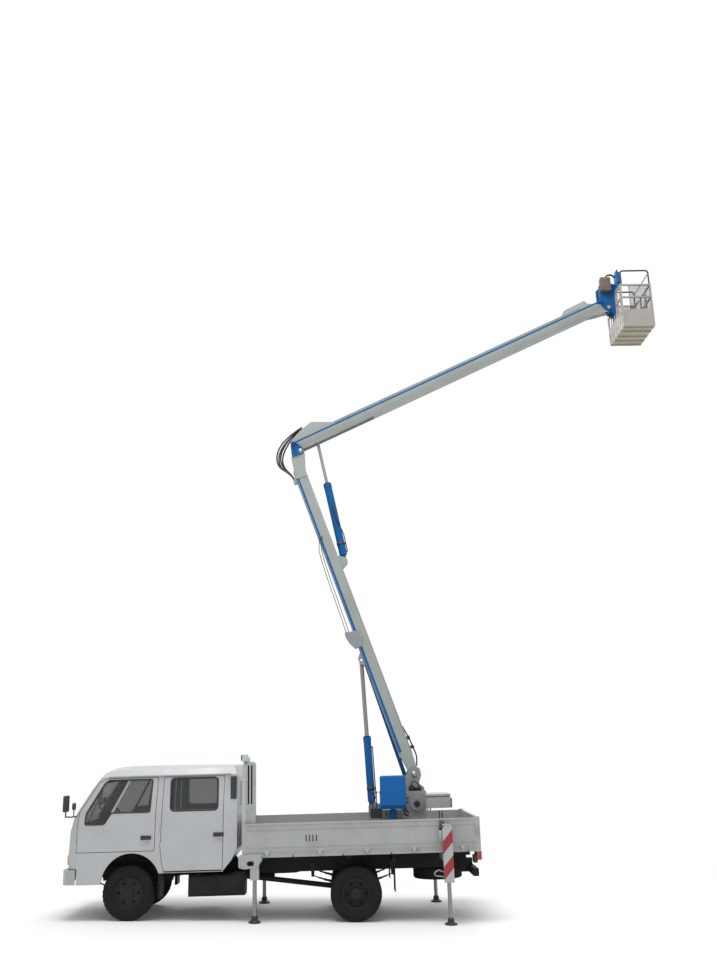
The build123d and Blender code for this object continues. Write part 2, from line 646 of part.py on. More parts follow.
def cargo_bed():
    bed = block((BED_FRONT, BED_REAR - 46), (-BED_HALF, BED_HALF), (BED_FLOOR - BED_FLOOR_T, BED_FLOOR))
    for side in (-1, 1):
        bed += block((BED_FRONT, BED_REAR - 36), (side * (BED_HALF - BED_WALL), side * BED_HALF),
                     (BED_FLOOR - 30, BED_WALL_TOP))
        bed += block((BED_FRONT, BED_REAR - 40), (side * (BED_HALF - 60), side * (BED_HALF - 6)),
                     (BED_SILL, BED_FLOOR - 30))
        bed += block((BED_REAR - 76, BED_REAR - 1), (side * (BED_HALF - 46), side * (BED_HALF + 4)),
                     (BED_SILL, BED_WALL_TOP + 14))
        bed += block((BED_FRONT, BED_FRONT + 60), (side * (BED_HALF - 46), side * (BED_HALF + 4)),
                     (BED_SILL, BED_WALL_TOP + 10))
    bed += block((BED_FRONT, BED_FRONT + 40), (-BED_HALF, BED_HALF), (BED_FLOOR - 30, BED_WALL_TOP))
    x, y, _, high, _ = JACKS["front"]
    for side in (-1, 1):
        across = (side * (y - JACK_CASING), side * (y + JACK_CASING))
        bed -= block((x - JACK_CASING, x + JACK_CASING), across, (BED_SILL - 1, high))
        for hinge in GATE_HINGES:
            middle = side * hinge
            for lug in (middle - 68, middle + 62):
                lug_z = (GATE_PIN[1] - GATE_LUG_R, GATE_PIN[1] + 6)
                bed += block((BED_REAR - 60, GATE_PIN[0]), (lug, lug + 6), lug_z)
                bed += cross_pin(GATE_PIN, GATE_LUG_R, (lug, lug + 6))
            bed += cross_pin(GATE_PIN, GATE_PIN_R, (middle - 64, middle + 64))
    for x in (1940, 2560, 3420, 4300, 5040):
        bed += block((x, x + 50), (-BED_HALF + 20, BED_HALF - 20), (BED_SILL, BED_FLOOR - BED_FLOOR_T))
    deck_y = BED_HALF - BED_WALL - 30
    return bed + block(DECK_SHEET, (-deck_y, deck_y), (BED_FLOOR - 1, BED_FLOOR + DECK_SHEET_T))


def tailgate():
    leaf = block((BED_REAR - 34, BED_REAR), (-BED_HALF + 56, BED_HALF - 56), (GATE_BOTTOM, BED_WALL_TOP))
    for side in (-1, 1):
        for hinge in GATE_HINGES:
            y = (side * hinge - 60, side * hinge + 60)
            knuckle_eye = cross_pin(GATE_PIN, 12, y)
            knuckle_eye += block((GATE_PIN[0] - 4, GATE_PIN[0] + 12), y, (GATE_PIN[1], GATE_BOTTOM + 6))
            leaf += knuckle_eye - cross_pin(GATE_PIN, GATE_PIN_R + 0.3, (y[0] - 1, y[1] + 1))
    return leaf


REST_X = 1700
REST_TOP = 2215
SADDLE_X = (REST_X - 108, REST_X - 32)       # the saddle stands forward of its post


def boom_rest():
    """Post behind the cab that the lower arm comes down on, and the slotted lamp post on the left."""
    seat = REST_TOP - 40
    post_body = block((REST_X, REST_X + 60), (-60, 60), (BED_FLOOR, REST_TOP - 155))
    back = REST_X + 60
    post_body += plate([(REST_X, REST_TOP - 200), (back, REST_TOP - 170), (back, REST_TOP - 140),
                        (SADDLE_X[1], seat), (SADDLE_X[0], seat), (SADDLE_X[0], seat - 20)], (-60, 60))
    post_body += block(SADDLE_X, (-150, 150), (seat - 20, seat))
    for side in (-1, 1):
        post_body += block(SADDLE_X, (side * 130, side * 150), (seat - 10, REST_TOP + 10))
    locker = plate([(1712, BED_FLOOR), (1850, BED_FLOOR), (1850, 2158), (1712, 2158)], (-940, -830))
    locker = fillet(locker.edges().filter_by(Axis.Y).group_by(Axis.Z)[-1], 45)
    for x in (1735, 1782):
        locker -= block((x, x + 22), (-950, -845), (1560, 2110))
    strip = block((1652, 1706), (-935, -895), (BED_WALL_TOP, 2120))
    strip += block((1652, 1716), (-935, -895), (BED_WALL_TOP + 60, BED_WALL_TOP + 130))
    strip += block((1690, 1716), (-935, -895), (1900, 1960))
    lamp = fillet(block((1640, 1740), (-950, -860), (2168, 2275)).edges(), 16)
    lamp += block((1670, 1700), (-925, -900), (2110, 2170))
    return post_body + locker + strip + lamp


SPARE = (4580, 372, 548)


def spare_wheel():
    """A spare wheel lying flat under the rails, with its rim."""
    x, low, high = SPARE
    wheel = tyre((0, 0), 0) + rim((0, 0), 0, 1, -20)
    wheel = Pos(x, 0, (low + high) / 2) * Rotation(90, 0, 0) * wheel
    seat = RAIL_TOP - RAIL_DEPTH + RAIL_WALL
    hanger = block((x - 25, x + 25), (-RAIL_HALF + RAIL_WALL, RAIL_HALF - RAIL_WALL), (seat, seat + 22))
    return wheel + hanger + post(x, 0, 20, (460, seat + 5))


def rear_guards():
    """Mudguards' flaps behind the twins, the rear under-run bar and its hangers."""
    guards = None
    for side in (-1, 1):
        flap_bar = (REAR_AXLE[0] + 540, REAR_AXLE[0] + 580)
        flap_x = (REAR_AXLE[0] + 560, REAR_AXLE[0] + 574)
        flap = block(flap_x, (side * 640, side * 930), (300, BED_SILL - 60))
        flap += block(flap_bar, (side * RAIL_HALF, side * 935), (690, BED_SILL - 55))
        front = block((440, 480), (side * 620, side * (CAB_HALF - 5)), (300, 642))
        piece = flap + front
        guards = piece if guards is None else guards + piece
    bar = block((RAIL_REAR + 40, RAIL_REAR + 120), (-860, 860), (470, 570))
    for side in (-1, 1):
        hanger_y = (side * RAIL_HALF, side * (RAIL_HALF + 12))
        bar += block((RAIL_REAR - 120, RAIL_REAR + 90), hanger_y, (480, RAIL_TOP - 20))
    return guards + bar


# ---------------------------------------------------------------- jacks
JACK_CAP = 12                    # thickness of a casing's closed top
BEAM_HALF = 60                   # half the width of a jack beam
BEAM_Z = (RAIL_TOP, RAIL_TOP + 100)


def outrigger_casings():
    casings = None
    half = JACK_CASING
    for x, y, low, high, _ in JACKS.values():
        beam = block((x - BEAM_HALF, x + BEAM_HALF), (-y + half, y - half), BEAM_Z)
        casings = beam if casings is None else casings + beam
        for side in (-1, 1):
            tube = block((x - half, x + half), (side * (y - half), side * (y + half)), (low, high))
            tube -= post(x, side * y, JACK_R + RUN_GAP, (low - 1, high - JACK_CAP))
            casings += tube
    return casings


def warning_boards():
    """Plain sheet boards for the striped marking, on the rear casings' outer faces."""
    x, y, low, high, _ = JACKS["rear"]
    boards = None
    for side in (-1, 1):
        face = y + JACK_CASING
        board = block((x - 72, x + 72), (side * face, side * (face + 4)), (low, high - 15))
        boards = board if boards is None else boards + board
    return boards


def jack_leg(name, side):
    """Chrome leg, ball and a foot that lies flat on the ground."""
    x, y, _, high, stroke = JACKS[name]
    ground = ground_under(x)
    rod = post(x, side * y, JACK_R, (ground + 60, high - JACK_CAP - stroke - 8))
    ball = Pos(x, side * y, ground + 62) * Sphere(48)
    pad = Pos(x, side * y, ground) * Rotation(0, RAKE, 0) * (Pos(0, 0, 11) * Cylinder(88, 22)
                                                            + Pos(0, 0, 30) * Cone(80, 46, 24))
    return rod + ball + pad


# ---------------------------------------------------------------- slewing platform
def pedestal():
    base = block((SLEW_X - 420, SLEW_X + 420), (-420, 420), (BED_FLOOR, BED_FLOOR + 30))
    column = post(SLEW_X, 0, RING_R - 30, (BED_FLOOR, RING_Z - 60))
    flange = post(SLEW_X, 0, RING_R, (RING_Z - 62, RING_Z - RUN_GAP))
    foot = base + column + flange
    for turn in range(8):
        rib = block((RING_R - 50, RING_R + 100), (-8, 8), (BED_FLOOR, BED_FLOOR + 150))
        foot += Pos(SLEW_X, 0, 0) * Rotation(0, 0, 45 * turn + 22.5) * rib
    return foot


CHEEK_Y = (LOWER_HALF + 6, LOWER_HALF + 24)


DECK_TOP = 1275


def turret():
    deck = post(SLEW_X, 0, RING_R, (RING_Z, RING_Z + 40))
    deck += block((3545, 4430), (-330, 330), (RING_Z + 40, DECK_TOP))
    for side in (-1, 1):
        y = (side * CHEEK_Y[0], side * CHEEK_Y[1])
        foot = plate([(3545, 1240), (3700, 1240), (3700, 1470), (3640, 1500), (3545, 1440)], y, 10)
        cheek = plate([(4060, 1240), (4430, 1240), (4420, 1700), (4340, 1760), (4380, 1880), (4365, 1980),
                       (4290, 2025), (4200, 1990), (4110, 1830), (4130, 1730), (4060, 1640)], y, 18)
        deck += foot + cheek
        deck += block((3640, 4140), y, (1240, 1330))
    # rear gear housing, with the round flange on its left side
    deck += block((4130, 4430), (-300, -CHEEK_Y[0]), (1240, 1655))
    deck += block((4130, 4430), (CHEEK_Y[0], 300), (1240, 1655))
    deck += block((4200, 4430), (-CHEEK_Y[0], CHEEK_Y[0]), (1240, 1655))
    deck += cross_pin((4282, 1470), 105, (-330, -300))
    # pins
    deck += cross_pin(LIFT_PIN, 32, (-CHEEK_Y[1] - 10, CHEEK_Y[1] + 10))
    deck += cross_pin(LIFT_FOOT, 26, (-CHEEK_Y[1] - 8, CHEEK_Y[1] + 8))
    deck += cross_pin(LOWER_TIE_FOOT, 16, (CHEEK_Y[0] + 5, TIE_Y + 40))
    return deck


SEAT_Y = -560


def operator_seat():
    """Seat on the left of the turret, its back turned outward."""
    base = block((3690, 4100), (SEAT_Y - 170, SEAT_Y + 200), (1420, 1500))
    base = fillet(base.edges(), 24)
    back = fillet(block((3700, 4090), (SEAT_Y - 230, SEAT_Y - 150), (1460, 1905)).edges(), 30)
    stand = block((3860, 3940), (SEAT_Y - 60, SEAT_Y + 60), (1300, 1421))
    arm = block((3850, 3950), (SEAT_Y - 60, -200), (DECK_TOP, DECK_TOP + 60))
    return base + back + stand + arm


def equipment_box():
    box = block((4430.3, 4800), (-300, 300), (1395, 1600))
    box += block((4800, 4826), (-300, -180), (1400, 1540))
    return box


# ---------------------------------------------------------------- arms
BOX_RISE = 0.0233                 # the lower arm's box leans this much across its pin line
LOWER_BOX = (300, 5330)
LOWER_MID = 14


def lower_mid(along):
    return LOWER_MID + (along - 300) * BOX_RISE


HOSE_FOOT = 5190                 # where the elbow's hoses leave the lower arm, along it
HOSE_START = (HOSE_FOOT, lower_mid(HOSE_FOOT) + LOWER_DEPTH / 2 + 30)
HOSE_END = (200, 384)            # along and square to the upper arm
HOSE_LOOP = ((-375, -235), (-350, 60))       # corners of the loop, out from the elbow's pin


def lower_boom():
    start, end = LOWER_BOX
    half = LOWER_DEPTH / 2
    outer = [(start, lower_mid(start) - half), (end, lower_mid(end) - half), (end, lower_mid(end) + half),
             (start, lower_mid(start) + half)]
    inner = [(start + ARM_WALL, lower_mid(start) - half + ARM_WALL),
             (end - ARM_WALL, lower_mid(end) - half + ARM_WALL),
             (end - ARM_WALL, lower_mid(end) + half - ARM_WALL),
             (start + ARM_WALL, lower_mid(start) + half - ARM_WALL)]
    y = (-LOWER_HALF, LOWER_HALF)
    box = plate(outer, y, frame=LOWER)
    box -= plate(inner, (-LOWER_HALF + ARM_WALL, LOWER_HALF - ARM_WALL), frame=LOWER)
    # slot in the front face for the lower cylinder's rod
    along, square = LIFT_EYE
    slot = [(along - 420, square - 120), (along + 230, square - 120), (along + 230, square + 90),
            (along - 420, square + 90)]
    box -= plate(slot, (-62, 62), frame=LOWER)
    for side in (-1, 1):
        inside = (side * (LOWER_HALF - 12), side * LOWER_HALF)
        foot = plate([(start + 60, lower_mid(start) - half), (start + 60, lower_mid(start) + half),
                      (60, 62), (-40, 50), (-62, 0), (-40, -50), (60, -72)], inside, 12, frame=LOWER)
        foot -= cross_pin(LIFT_PIN, 32 + RUN_GAP, (-200, 200))
        head = plate([(end - 150, lower_mid(end) - half), (end - 20, lower_mid(end) - half - 4),
                      (LOWER_LENGTH - 20, -62), (LOWER_LENGTH + 45, -45), (LOWER_LENGTH + 62, 0),
                      (LOWER_LENGTH + 50, 60), (LOWER_LENGTH - 60, 190), (end - 150, lower_mid(end) + half)],
                     (side * LOWER_HALF, side * (LOWER_HALF + 10)), 12, frame=LOWER)
        head -= cross_pin(ELBOW_PIN, 30 + RUN_GAP, (-200, 200))
        lug = plate([(along - 130, square - 34), (along + 130, square - 34), (along + 46, square + 40),
                     (along - 46, square + 40)], (side * 64, side * 84), 14, frame=LOWER)
        lug -= cross_pin(LIFT_EYE_AT, 23, (-200, 200))
        spot = LOWER.to_local_coords(Vector(FOLD_FOOT[0], 0, FOLD_FOOT[1]))
        base = lower_mid(spot.X) - half
        fold_lug = plate([(spot.X - 120, base + 2), (spot.X + 120, base + 2), (spot.X + 44, spot.Y - 40),
                          (spot.X - 44, spot.Y - 40)], (side * 48, side * 68), 12, frame=LOWER)
        box += foot + head + lug + fold_lug
    box += cross_pin(FOLD_FOOT, 22, (-68, 68))
    along, square = HOSE_START
    box += block_on(LOWER, (along - 60, along), (square - 35, square + 24), (-80, 66))
    return box


COLLAR = 4                       # how far a gland collar stands out from its barrel


def cylinder(foot, eye, barrel, radius, pin_r, rod_r, half):
    """Barrel with its foot eye and gland collar, along the line from foot to eye."""
    run = hypot(eye[0] - foot[0], eye[1] - foot[1])
    unit = ((eye[0] - foot[0]) / run, (eye[1] - foot[1]) / run)

    def on(distance):
        return (foot[0] + unit[0] * distance, 0, foot[1] + unit[1] * distance)

    body = pipe(on(radius + 40), on(barrel - 40), radius)
    body += pipe(on(barrel - 60), on(barrel), radius + COLLAR)
    body += pipe(on(0), on(radius + 50), half - 4)
    body += cross_pin(foot, pin_r + 22, (-half, half))
    body -= pipe(on(radius + 75), on(barrel + 1), rod_r + RUN_GAP)
    body -= cross_pin(foot, pin_r + RUN_GAP, (-half - 50, half + 50))
    return body


def rod(foot, eye, barrel, pin_r, rod_r, half, depth):
    """Rod with its eye, reaching a stated depth into the barrel."""
    run = hypot(eye[0] - foot[0], eye[1] - foot[1])
    unit = ((eye[0] - foot[0]) / run, (eye[1] - foot[1]) / run)

    def on(distance):
        return (foot[0] + unit[0] * distance, 0, foot[1] + unit[1] * distance)

    bar = pipe(on(barrel - depth), on(run - 20), rod_r)
    bar += cross_pin(eye, pin_r + 18, (-half, half))
    return bar - cross_pin(eye, pin_r, (-half - 50, half + 50))


def tie_rod(foot, head, y, bore, flat=False):
    """A round or flat bar with an eye at each end."""
    side_y = (y - 15, y + 15)
    run = (head[0] - foot[0], head[1] - foot[1])
    frame = side_frame(foot, degrees(atan2(run[1], run[0])))
    if flat:
        bar = block_on(frame, (bore, hypot(*run) - bore), (-TIE_BAR, TIE_BAR), (y - 9, y + 9))
    else:
        bar = pipe((foot[0], y, foot[1]), (head[0], y, head[1]), TIE_R)
    for at in (foot, head):
        bar += cross_pin(at, bore + 16, side_y)
    for at in (foot, head):
        bar -= cross_pin(at, bore + RUN_GAP, (y - 60, y + 60))
    return bar


PLATE_Y = (115, 125)


def elbow_plate():
    """Elbow pin with a plate on each end, which holds both tie rods' pins."""
    pin = cross_pin(ELBOW_PIN, 30, (-PLATE_Y[1], PLATE_Y[1]))
    for side in (-1, 1):
        pin += plate([offset_by(ELBOW_PIN, (48, -40)), offset_by(ELBOW_PIN, (52, 36)),
                      offset_by(UPPER_TIE_FOOT, (34, 44)), offset_by(UPPER_TIE_FOOT, (-36, 30)),
                      offset_by(LOWER_TIE_HEAD, (-42, 10)), offset_by(LOWER_TIE_HEAD, (-20, -44))],
                     (side * PLATE_Y[0], side * PLATE_Y[1]), 14)
    pin += cross_pin(LOWER_TIE_HEAD, 16, (PLATE_Y[0], TIE_Y + 22))
    return pin


def upper_tie_pin():
    """Pin of the upper tie rod, turning in the elbow plate."""
    return cross_pin(UPPER_TIE_FOOT, 16, (-PLATE_Y[1] - RUN_GAP, -TIE_Y - 24))


UPPER_END = 290                  # from the end of the upper arm's box to the basket's pin
UPPER_START = 640                # from the elbow's pin to the start of the box
TIP_COVER = (5300, UPPER_LENGTH - UPPER_END)    # along the upper arm
TIP_COVER_H = 84
FOLD_SLOT = 780                  # length of the slot that the cylinder sinks into when the arm is down


def upper_boom():
    start, end = UPPER_START, UPPER_LENGTH - UPPER_END
    low, high = 20, 20 + UPPER_DEPTH
    y = (-UPPER_HALF, UPPER_HALF)
    box = plate([(start, low), (end, low), (end, high), (start, high)], y, frame=UPPER)
    box -= plate([(start + ARM_WALL, low + ARM_WALL), (end - ARM_WALL, low + ARM_WALL),
                  (end - ARM_WALL, high - ARM_WALL), (start + ARM_WALL, high - ARM_WALL)],
                 (-UPPER_HALF + ARM_WALL, UPPER_HALF - ARM_WALL), frame=UPPER)
    room = UPPER_HALF - ARM_WALL
    box -= block_on(UPPER, (start - 1, start + FOLD_SLOT), (low - 1, low + ARM_WALL + 1), (-room, room))
    box -= block_on(UPPER, (start - 1, start + ARM_WALL + 1), (low - 1, high - 2 * ARM_WALL), (-room, room))
    for side in (-1, 1):
        inside = (side * (UPPER_HALF - ARM_WALL), side * UPPER_HALF)
        root = plate([(-58, -10), (-40, -48), (30, -52), (60, 20), (start + 80, low), (start + 80, high),
                      (start, 282), (394, 405), (153, 344), (-60, 250), (-78, 130)], inside, 10, frame=UPPER)
        root -= cross_pin(ELBOW_PIN, 30 + RUN_GAP, (-200, 200))
        tip = plate([(end - 120, low), (end - 120, high), (end, high), (UPPER_LENGTH + 40, 52),
                     (UPPER_LENGTH + 58, 0), (UPPER_LENGTH + 40, -44), (UPPER_LENGTH - 40, -50)], inside, 12,
                    frame=UPPER)
        tip -= cross_pin(BASKET_PIN, 26 + RUN_GAP, (-200, 200))
        box += root + tip
    low_end, high_end = TIP_COVER
    top = high + TIP_COVER_H
    box += plate([(low_end, high - 2), (high_end, high - 2), (high_end - 30, top), (low_end + 120, top - 8)],
                 (-UPPER_HALF + 14, UPPER_HALF - 14), 14, frame=UPPER)
    # roof of the root, with the clamp that the hoses end at
    inner = (-UPPER_HALF + 6, UPPER_HALF - 6)
    box += plate([(394, 393), (394, 403), (start, 280), (start, 270)], inner, frame=UPPER)
    box += plate([(153, 330), (153, 342), (394, 403), (394, 391)], inner, frame=UPPER)
    along, square = HOSE_END
    box += block_on(UPPER, (along, along + 12), (square - 45, square + 22), inner)
    return box


def basket_pin():
    """Pin at the upper arm's tip, which the basket's bracket turns on."""
    return cross_pin(BASKET_PIN, 26, (-UPPER_HALF - 44, UPPER_HALF + 44))


BASKET_RIBS = 7                  # upright bars on the side towards the arm
BRACKET = (                      # outline of a bracket plate, out from the basket's pin
    (-60, -30), (20, -60), (BASKET_REACH + 2, -120), (BASKET_REACH + 2, 302), (BASKET_REACH + 43, 306),
    (BASKET_REACH + 43, 440), (120, 475), (-100, 475), (-154, 430), (-154, 182), (-150, 90),
)


def basket():
    x0, x1 = BASKET_X
    wall = 28
    half = BASKET_HALF
    floor = block((x0, x1), (-half, half), (BASKET_FLOOR, BASKET_FLOOR + 30))
    cage = floor
    for z in (BASKET_RAIL - wall, BASKET_FLOOR + BASKET_MID_H):
        for side in (-1, 1):
            cage += block((x0, x1), (side * (half - wall), side * half), (z, z + wall))
        for x in (x0, x1 - wall):
            cage += block((x, x + wall), (-half, half), (z, z + wall))
    corners = [(x, y) for x in (x0, x1 - wall) for y in (-half, half - wall)]
    for x, y in corners:
        cage += block((x, x + wall), (y, y + wall), (BASKET_FLOOR, BASKET_RAIL))
    for y in (-half + 300, half - 300 - wall):
        for x in (x0, x1 - wall):
            cage += block((x, x + wall), (y, y + wall), (BASKET_FLOOR, BASKET_RAIL))
    for step in range(BASKET_RIBS):
        y = -half + (step + 0.5) * (2 * half - 14) / BASKET_RIBS
        cage += block((x0, x0 + 14), (y, y + 14), (BASKET_FLOOR, BASKET_RAIL))
    for y in (-half + 60, -half / 2, 0, half / 2 - 30, half - 90):
        cage += block((x0 + 10, x1 - 10), (y, y + 30), (BASKET_FLOOR - 26, BASKET_FLOOR))
    skirt = 4
    skirt_z = (BASKET_FLOOR, BASKET_FLOOR + BASKET_SKIRT_H)
    for side in (-1, 1):
        cage += block((x0, x1), (side * (half - skirt - 4), side * (half - 4)), skirt_z)
    for x in (x0 + 4, x1 - skirt - 4):
        cage += block((x, x + skirt), (-half, half), skirt_z)
    # upper hand rail
    near, far, rail_y = x0 + 40, x1 - 20, half - 25
    for side in (-1, 1):
        y = side * rail_y
        cage += bent_pipe([(near, y, BASKET_RAIL - 4), (near, y, BASKET_HANDRAIL),
                           (far, y, BASKET_HANDRAIL), (far, y, BASKET_RAIL - 4)], 14, 50)
    cage += pipe((far, -rail_y, BASKET_HANDRAIL - 60), (far, rail_y, BASKET_HANDRAIL - 60), 11)
    # bracket to the tip pin
    pin_x, pin_z = BASKET_PIN
    for side in (-1, 1):
        y = (side * (UPPER_HALF + 8), side * (UPPER_HALF + 20))
        arm = plate([(pin_x + along, pin_z + up) for along, up in BRACKET], y, 14)
        arm -= cross_pin(BASKET_PIN, 26 + RUN_GAP, (-200, 200))
        cage += arm
    cage += block((x0 - 12, x0 + 4), (-UPPER_HALF - 20, UPPER_HALF + 20), (pin_z - 100, pin_z + 325))
    cage += cross_pin(UPPER_TIE_HEAD, 16, (-UPPER_HALF - 8, -TIE_Y - 22))
    valve_y = (-UPPER_HALF - 104, -UPPER_HALF - 19)
    valve = block((pin_x - 136, pin_x + 53), valve_y, (pin_z + 308, pin_z + 570))
    cage += fillet(valve.edges().filter_by(Axis.Y), 30)
    cage += block((x0 + 6, x0 + 22), (-330, -140), (BASKET_RAIL - 2, BASKET_RAIL + 120))
    controls = block((x0 + 2, x0 + 72), (-330, -140), (BASKET_RAIL + 104, BASKET_RAIL + 303))
    return cage + fillet(controls.edges().filter_by(Axis.Z), 12)


HOSE_R = 14
HOSE_BEND = 100


def elbow_hoses():
    """Hose bundle that loops round the front of the elbow, from the lower arm to the upper one."""
    bundle = None
    start, end = HOSE_START, HOSE_END
    points = [point_on(LOWER, start[0] + SEAT_GAP, start[1]), point_on(LOWER, start[0] + 90, start[1]),
              *[offset_by(ELBOW_PIN, corner) for corner in HOSE_LOOP],
              point_on(UPPER, end[0] - 110, end[1]), point_on(UPPER, end[0] - SEAT_GAP, end[1])]
    for y in (-60, -25, 10, 45):
        run = [(x, y, z) for x, z in points]
        hose = bent_pipe(run, HOSE_R, HOSE_BEND)
        bundle = hose if bundle is None else bundle + hose
    return bundle


# ---------------------------------------------------------------- all pieces
def pieces():
    skin = cab_skin()
    made = {
        "chassis_frame": chassis_frame(),
        "power_train": power_train(),
        "front_axle": front_axle(),
        "rear_axle": rear_axle(),
        "leaf_springs": leaf_springs(),
        "side_tanks": side_tanks(),
        "cab_shell": cab_shell(skin),
        "cab_glass": cab_glass(),
        "cab_interior": cab_interior(),
        "cab_seats": cab_seats(),
        "front_bumper": front_bumper(),
        "lamps": lamps(),
        "mirrors": mirrors(),
        "cargo_bed": cargo_bed(),
        "boom_rest": boom_rest(),
        "spare_wheel": spare_wheel(),
        "rear_guards": rear_guards(),
        "outrigger_casings": outrigger_casings(),
        "warning_boards": warning_boards(),
        "pedestal": pedestal(),
        "tailgate": tailgate(),
        "turret": turret(),
        "operator_seat": operator_seat(),
        "equipment_box": equipment_box(),
        "lower_boom": lower_boom(),
        "lower_cylinder": cylinder(LIFT_FOOT, LIFT_EYE_AT, LIFT_BARREL, CYL_R, 26, ROD_R, 50),
        "lower_rod": rod(LIFT_FOOT, LIFT_EYE_AT, LIFT_BARREL, 22, ROD_R, 50, 100),
        "lower_tie_rod": tie_rod(LOWER_TIE_FOOT, LOWER_TIE_HEAD, TIE_Y, 16, flat=True),
        "elbow_plate": elbow_plate(),
        "upper_boom": upper_boom(),
        "upper_cylinder": cylinder(FOLD_FOOT, FOLD_EYE_AT, FOLD_BARREL, FOLD_CYL_R, 22, FOLD_ROD_R, 42),
        "upper_rod": rod(FOLD_FOOT, FOLD_EYE_AT, FOLD_BARREL, 18, FOLD_ROD_R, 42, 300),
        "upper_tie_pin": upper_tie_pin(),
        "upper_tie_rod": tie_rod(UPPER_TIE_FOOT, UPPER_TIE_HEAD, -TIE_Y, 16),
        "basket_pin": basket_pin(),
        "basket": basket(),
        "elbow_hoses": elbow_hoses(),
    }
    for side, word in ((-1, "left"), (1, "right")):
        made[f"knuckle_{word}"] = knuckle(side)
        hub_y = side * FRONT_TRACK / 2
        made[f"front_tyre_{word}"] = tyre(AXLE, hub_y)
        made[f"front_rim_{word}"] = rim(AXLE, hub_y, side, 20)
        twin = [side * TWIN_OUTER_Y, side * (TWIN_OUTER_Y - TWIN_PITCH)]
        made[f"rear_tyres_{word}"] = tyre(REAR_AXLE, twin[0]) + tyre(REAR_AXLE, twin[1])
        made[f"rear_rims_{word}"] = rear_twin_rims(side)
        for name, points, window, corner in DOOR_ROWS:
            made[f"door_{name}_{word}"] = door(skin, name, points, window, corner, side)
            made[f"glass_{name}_{word}"] = door_glass(skin, window, corner, side)
        for name in JACKS:
            made[f"jack_{name}_{word}"] = jack_leg(name, side)
    return made


if __name__ == "__main__":
    os.makedirs("parts", exist_ok=True)
    for node, shape in pieces().items():
        export_step(set_down(shape), f"parts/{node}.step")
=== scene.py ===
from math import atan2, cos, pi, radians, sin

import bmesh
import bpy
from mathutils import Matrix, Vector


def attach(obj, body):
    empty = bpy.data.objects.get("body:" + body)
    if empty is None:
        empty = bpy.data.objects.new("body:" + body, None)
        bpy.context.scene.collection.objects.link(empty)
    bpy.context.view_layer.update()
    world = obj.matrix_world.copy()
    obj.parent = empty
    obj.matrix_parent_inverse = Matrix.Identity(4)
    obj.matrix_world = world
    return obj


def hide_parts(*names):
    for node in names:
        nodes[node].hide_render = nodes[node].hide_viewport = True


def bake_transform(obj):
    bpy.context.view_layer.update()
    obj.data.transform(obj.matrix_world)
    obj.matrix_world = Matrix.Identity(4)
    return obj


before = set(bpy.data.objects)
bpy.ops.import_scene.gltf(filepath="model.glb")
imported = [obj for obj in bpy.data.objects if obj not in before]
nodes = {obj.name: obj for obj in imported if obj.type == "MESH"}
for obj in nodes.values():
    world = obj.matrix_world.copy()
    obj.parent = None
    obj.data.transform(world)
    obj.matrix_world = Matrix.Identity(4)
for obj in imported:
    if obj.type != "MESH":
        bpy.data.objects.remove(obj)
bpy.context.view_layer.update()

# ---------------------------------------------------------------- the truck's own axes in the shared frame
RAKE = radians(1.66)                 # the frame stands nose down by this much
ORIGIN_X = 3.842476                  # from the front axle back to the shared frame's origin
WHEEL_Z = 0.375                      # height of the front axle, which the truck is raked about


def at(x, y, z):
    """The shared frame's point for metres rearward of the front axle, right and up in the truck's axes."""
    return Vector((x * cos(RAKE) - (z - WHEEL_Z) * sin(RAKE) - ORIGIN_X, y,
                   x * sin(RAKE) + (z - WHEEL_Z) * cos(RAKE) + WHEEL_Z))


ORIGIN = at(0, 0, 0)
TRUCK = Matrix(((cos(RAKE), 0, -sin(RAKE), ORIGIN.x), (0, 1, 0, 0), (sin(RAKE), 0, cos(RAKE), ORIGIN.z),
                (0, 0, 0, 1)))
BACK = TRUCK.inverted()
SIDES = (("left", -1), ("right", 1))


# ---------------------------------------------------------------- materials
def principled(name, colour, rough, metal=0.0, coat=0.0, coat_rough=0.1, specular=0.5):
    mat = bpy.data.materials.new(name)
    mat.use_nodes = True
    node = mat.node_tree.nodes["Principled BSDF"]
    node.inputs["Base Color"].default_value = (*colour, 1)
    node.inputs["Roughness"].default_value = rough
    node.inputs["Metallic"].default_value = metal
    node.inputs["Coat Weight"].default_value = coat
    node.inputs["Coat Roughness"].default_value = coat_rough
    node.inputs["Specular IOR Level"].default_value = specular
    return mat


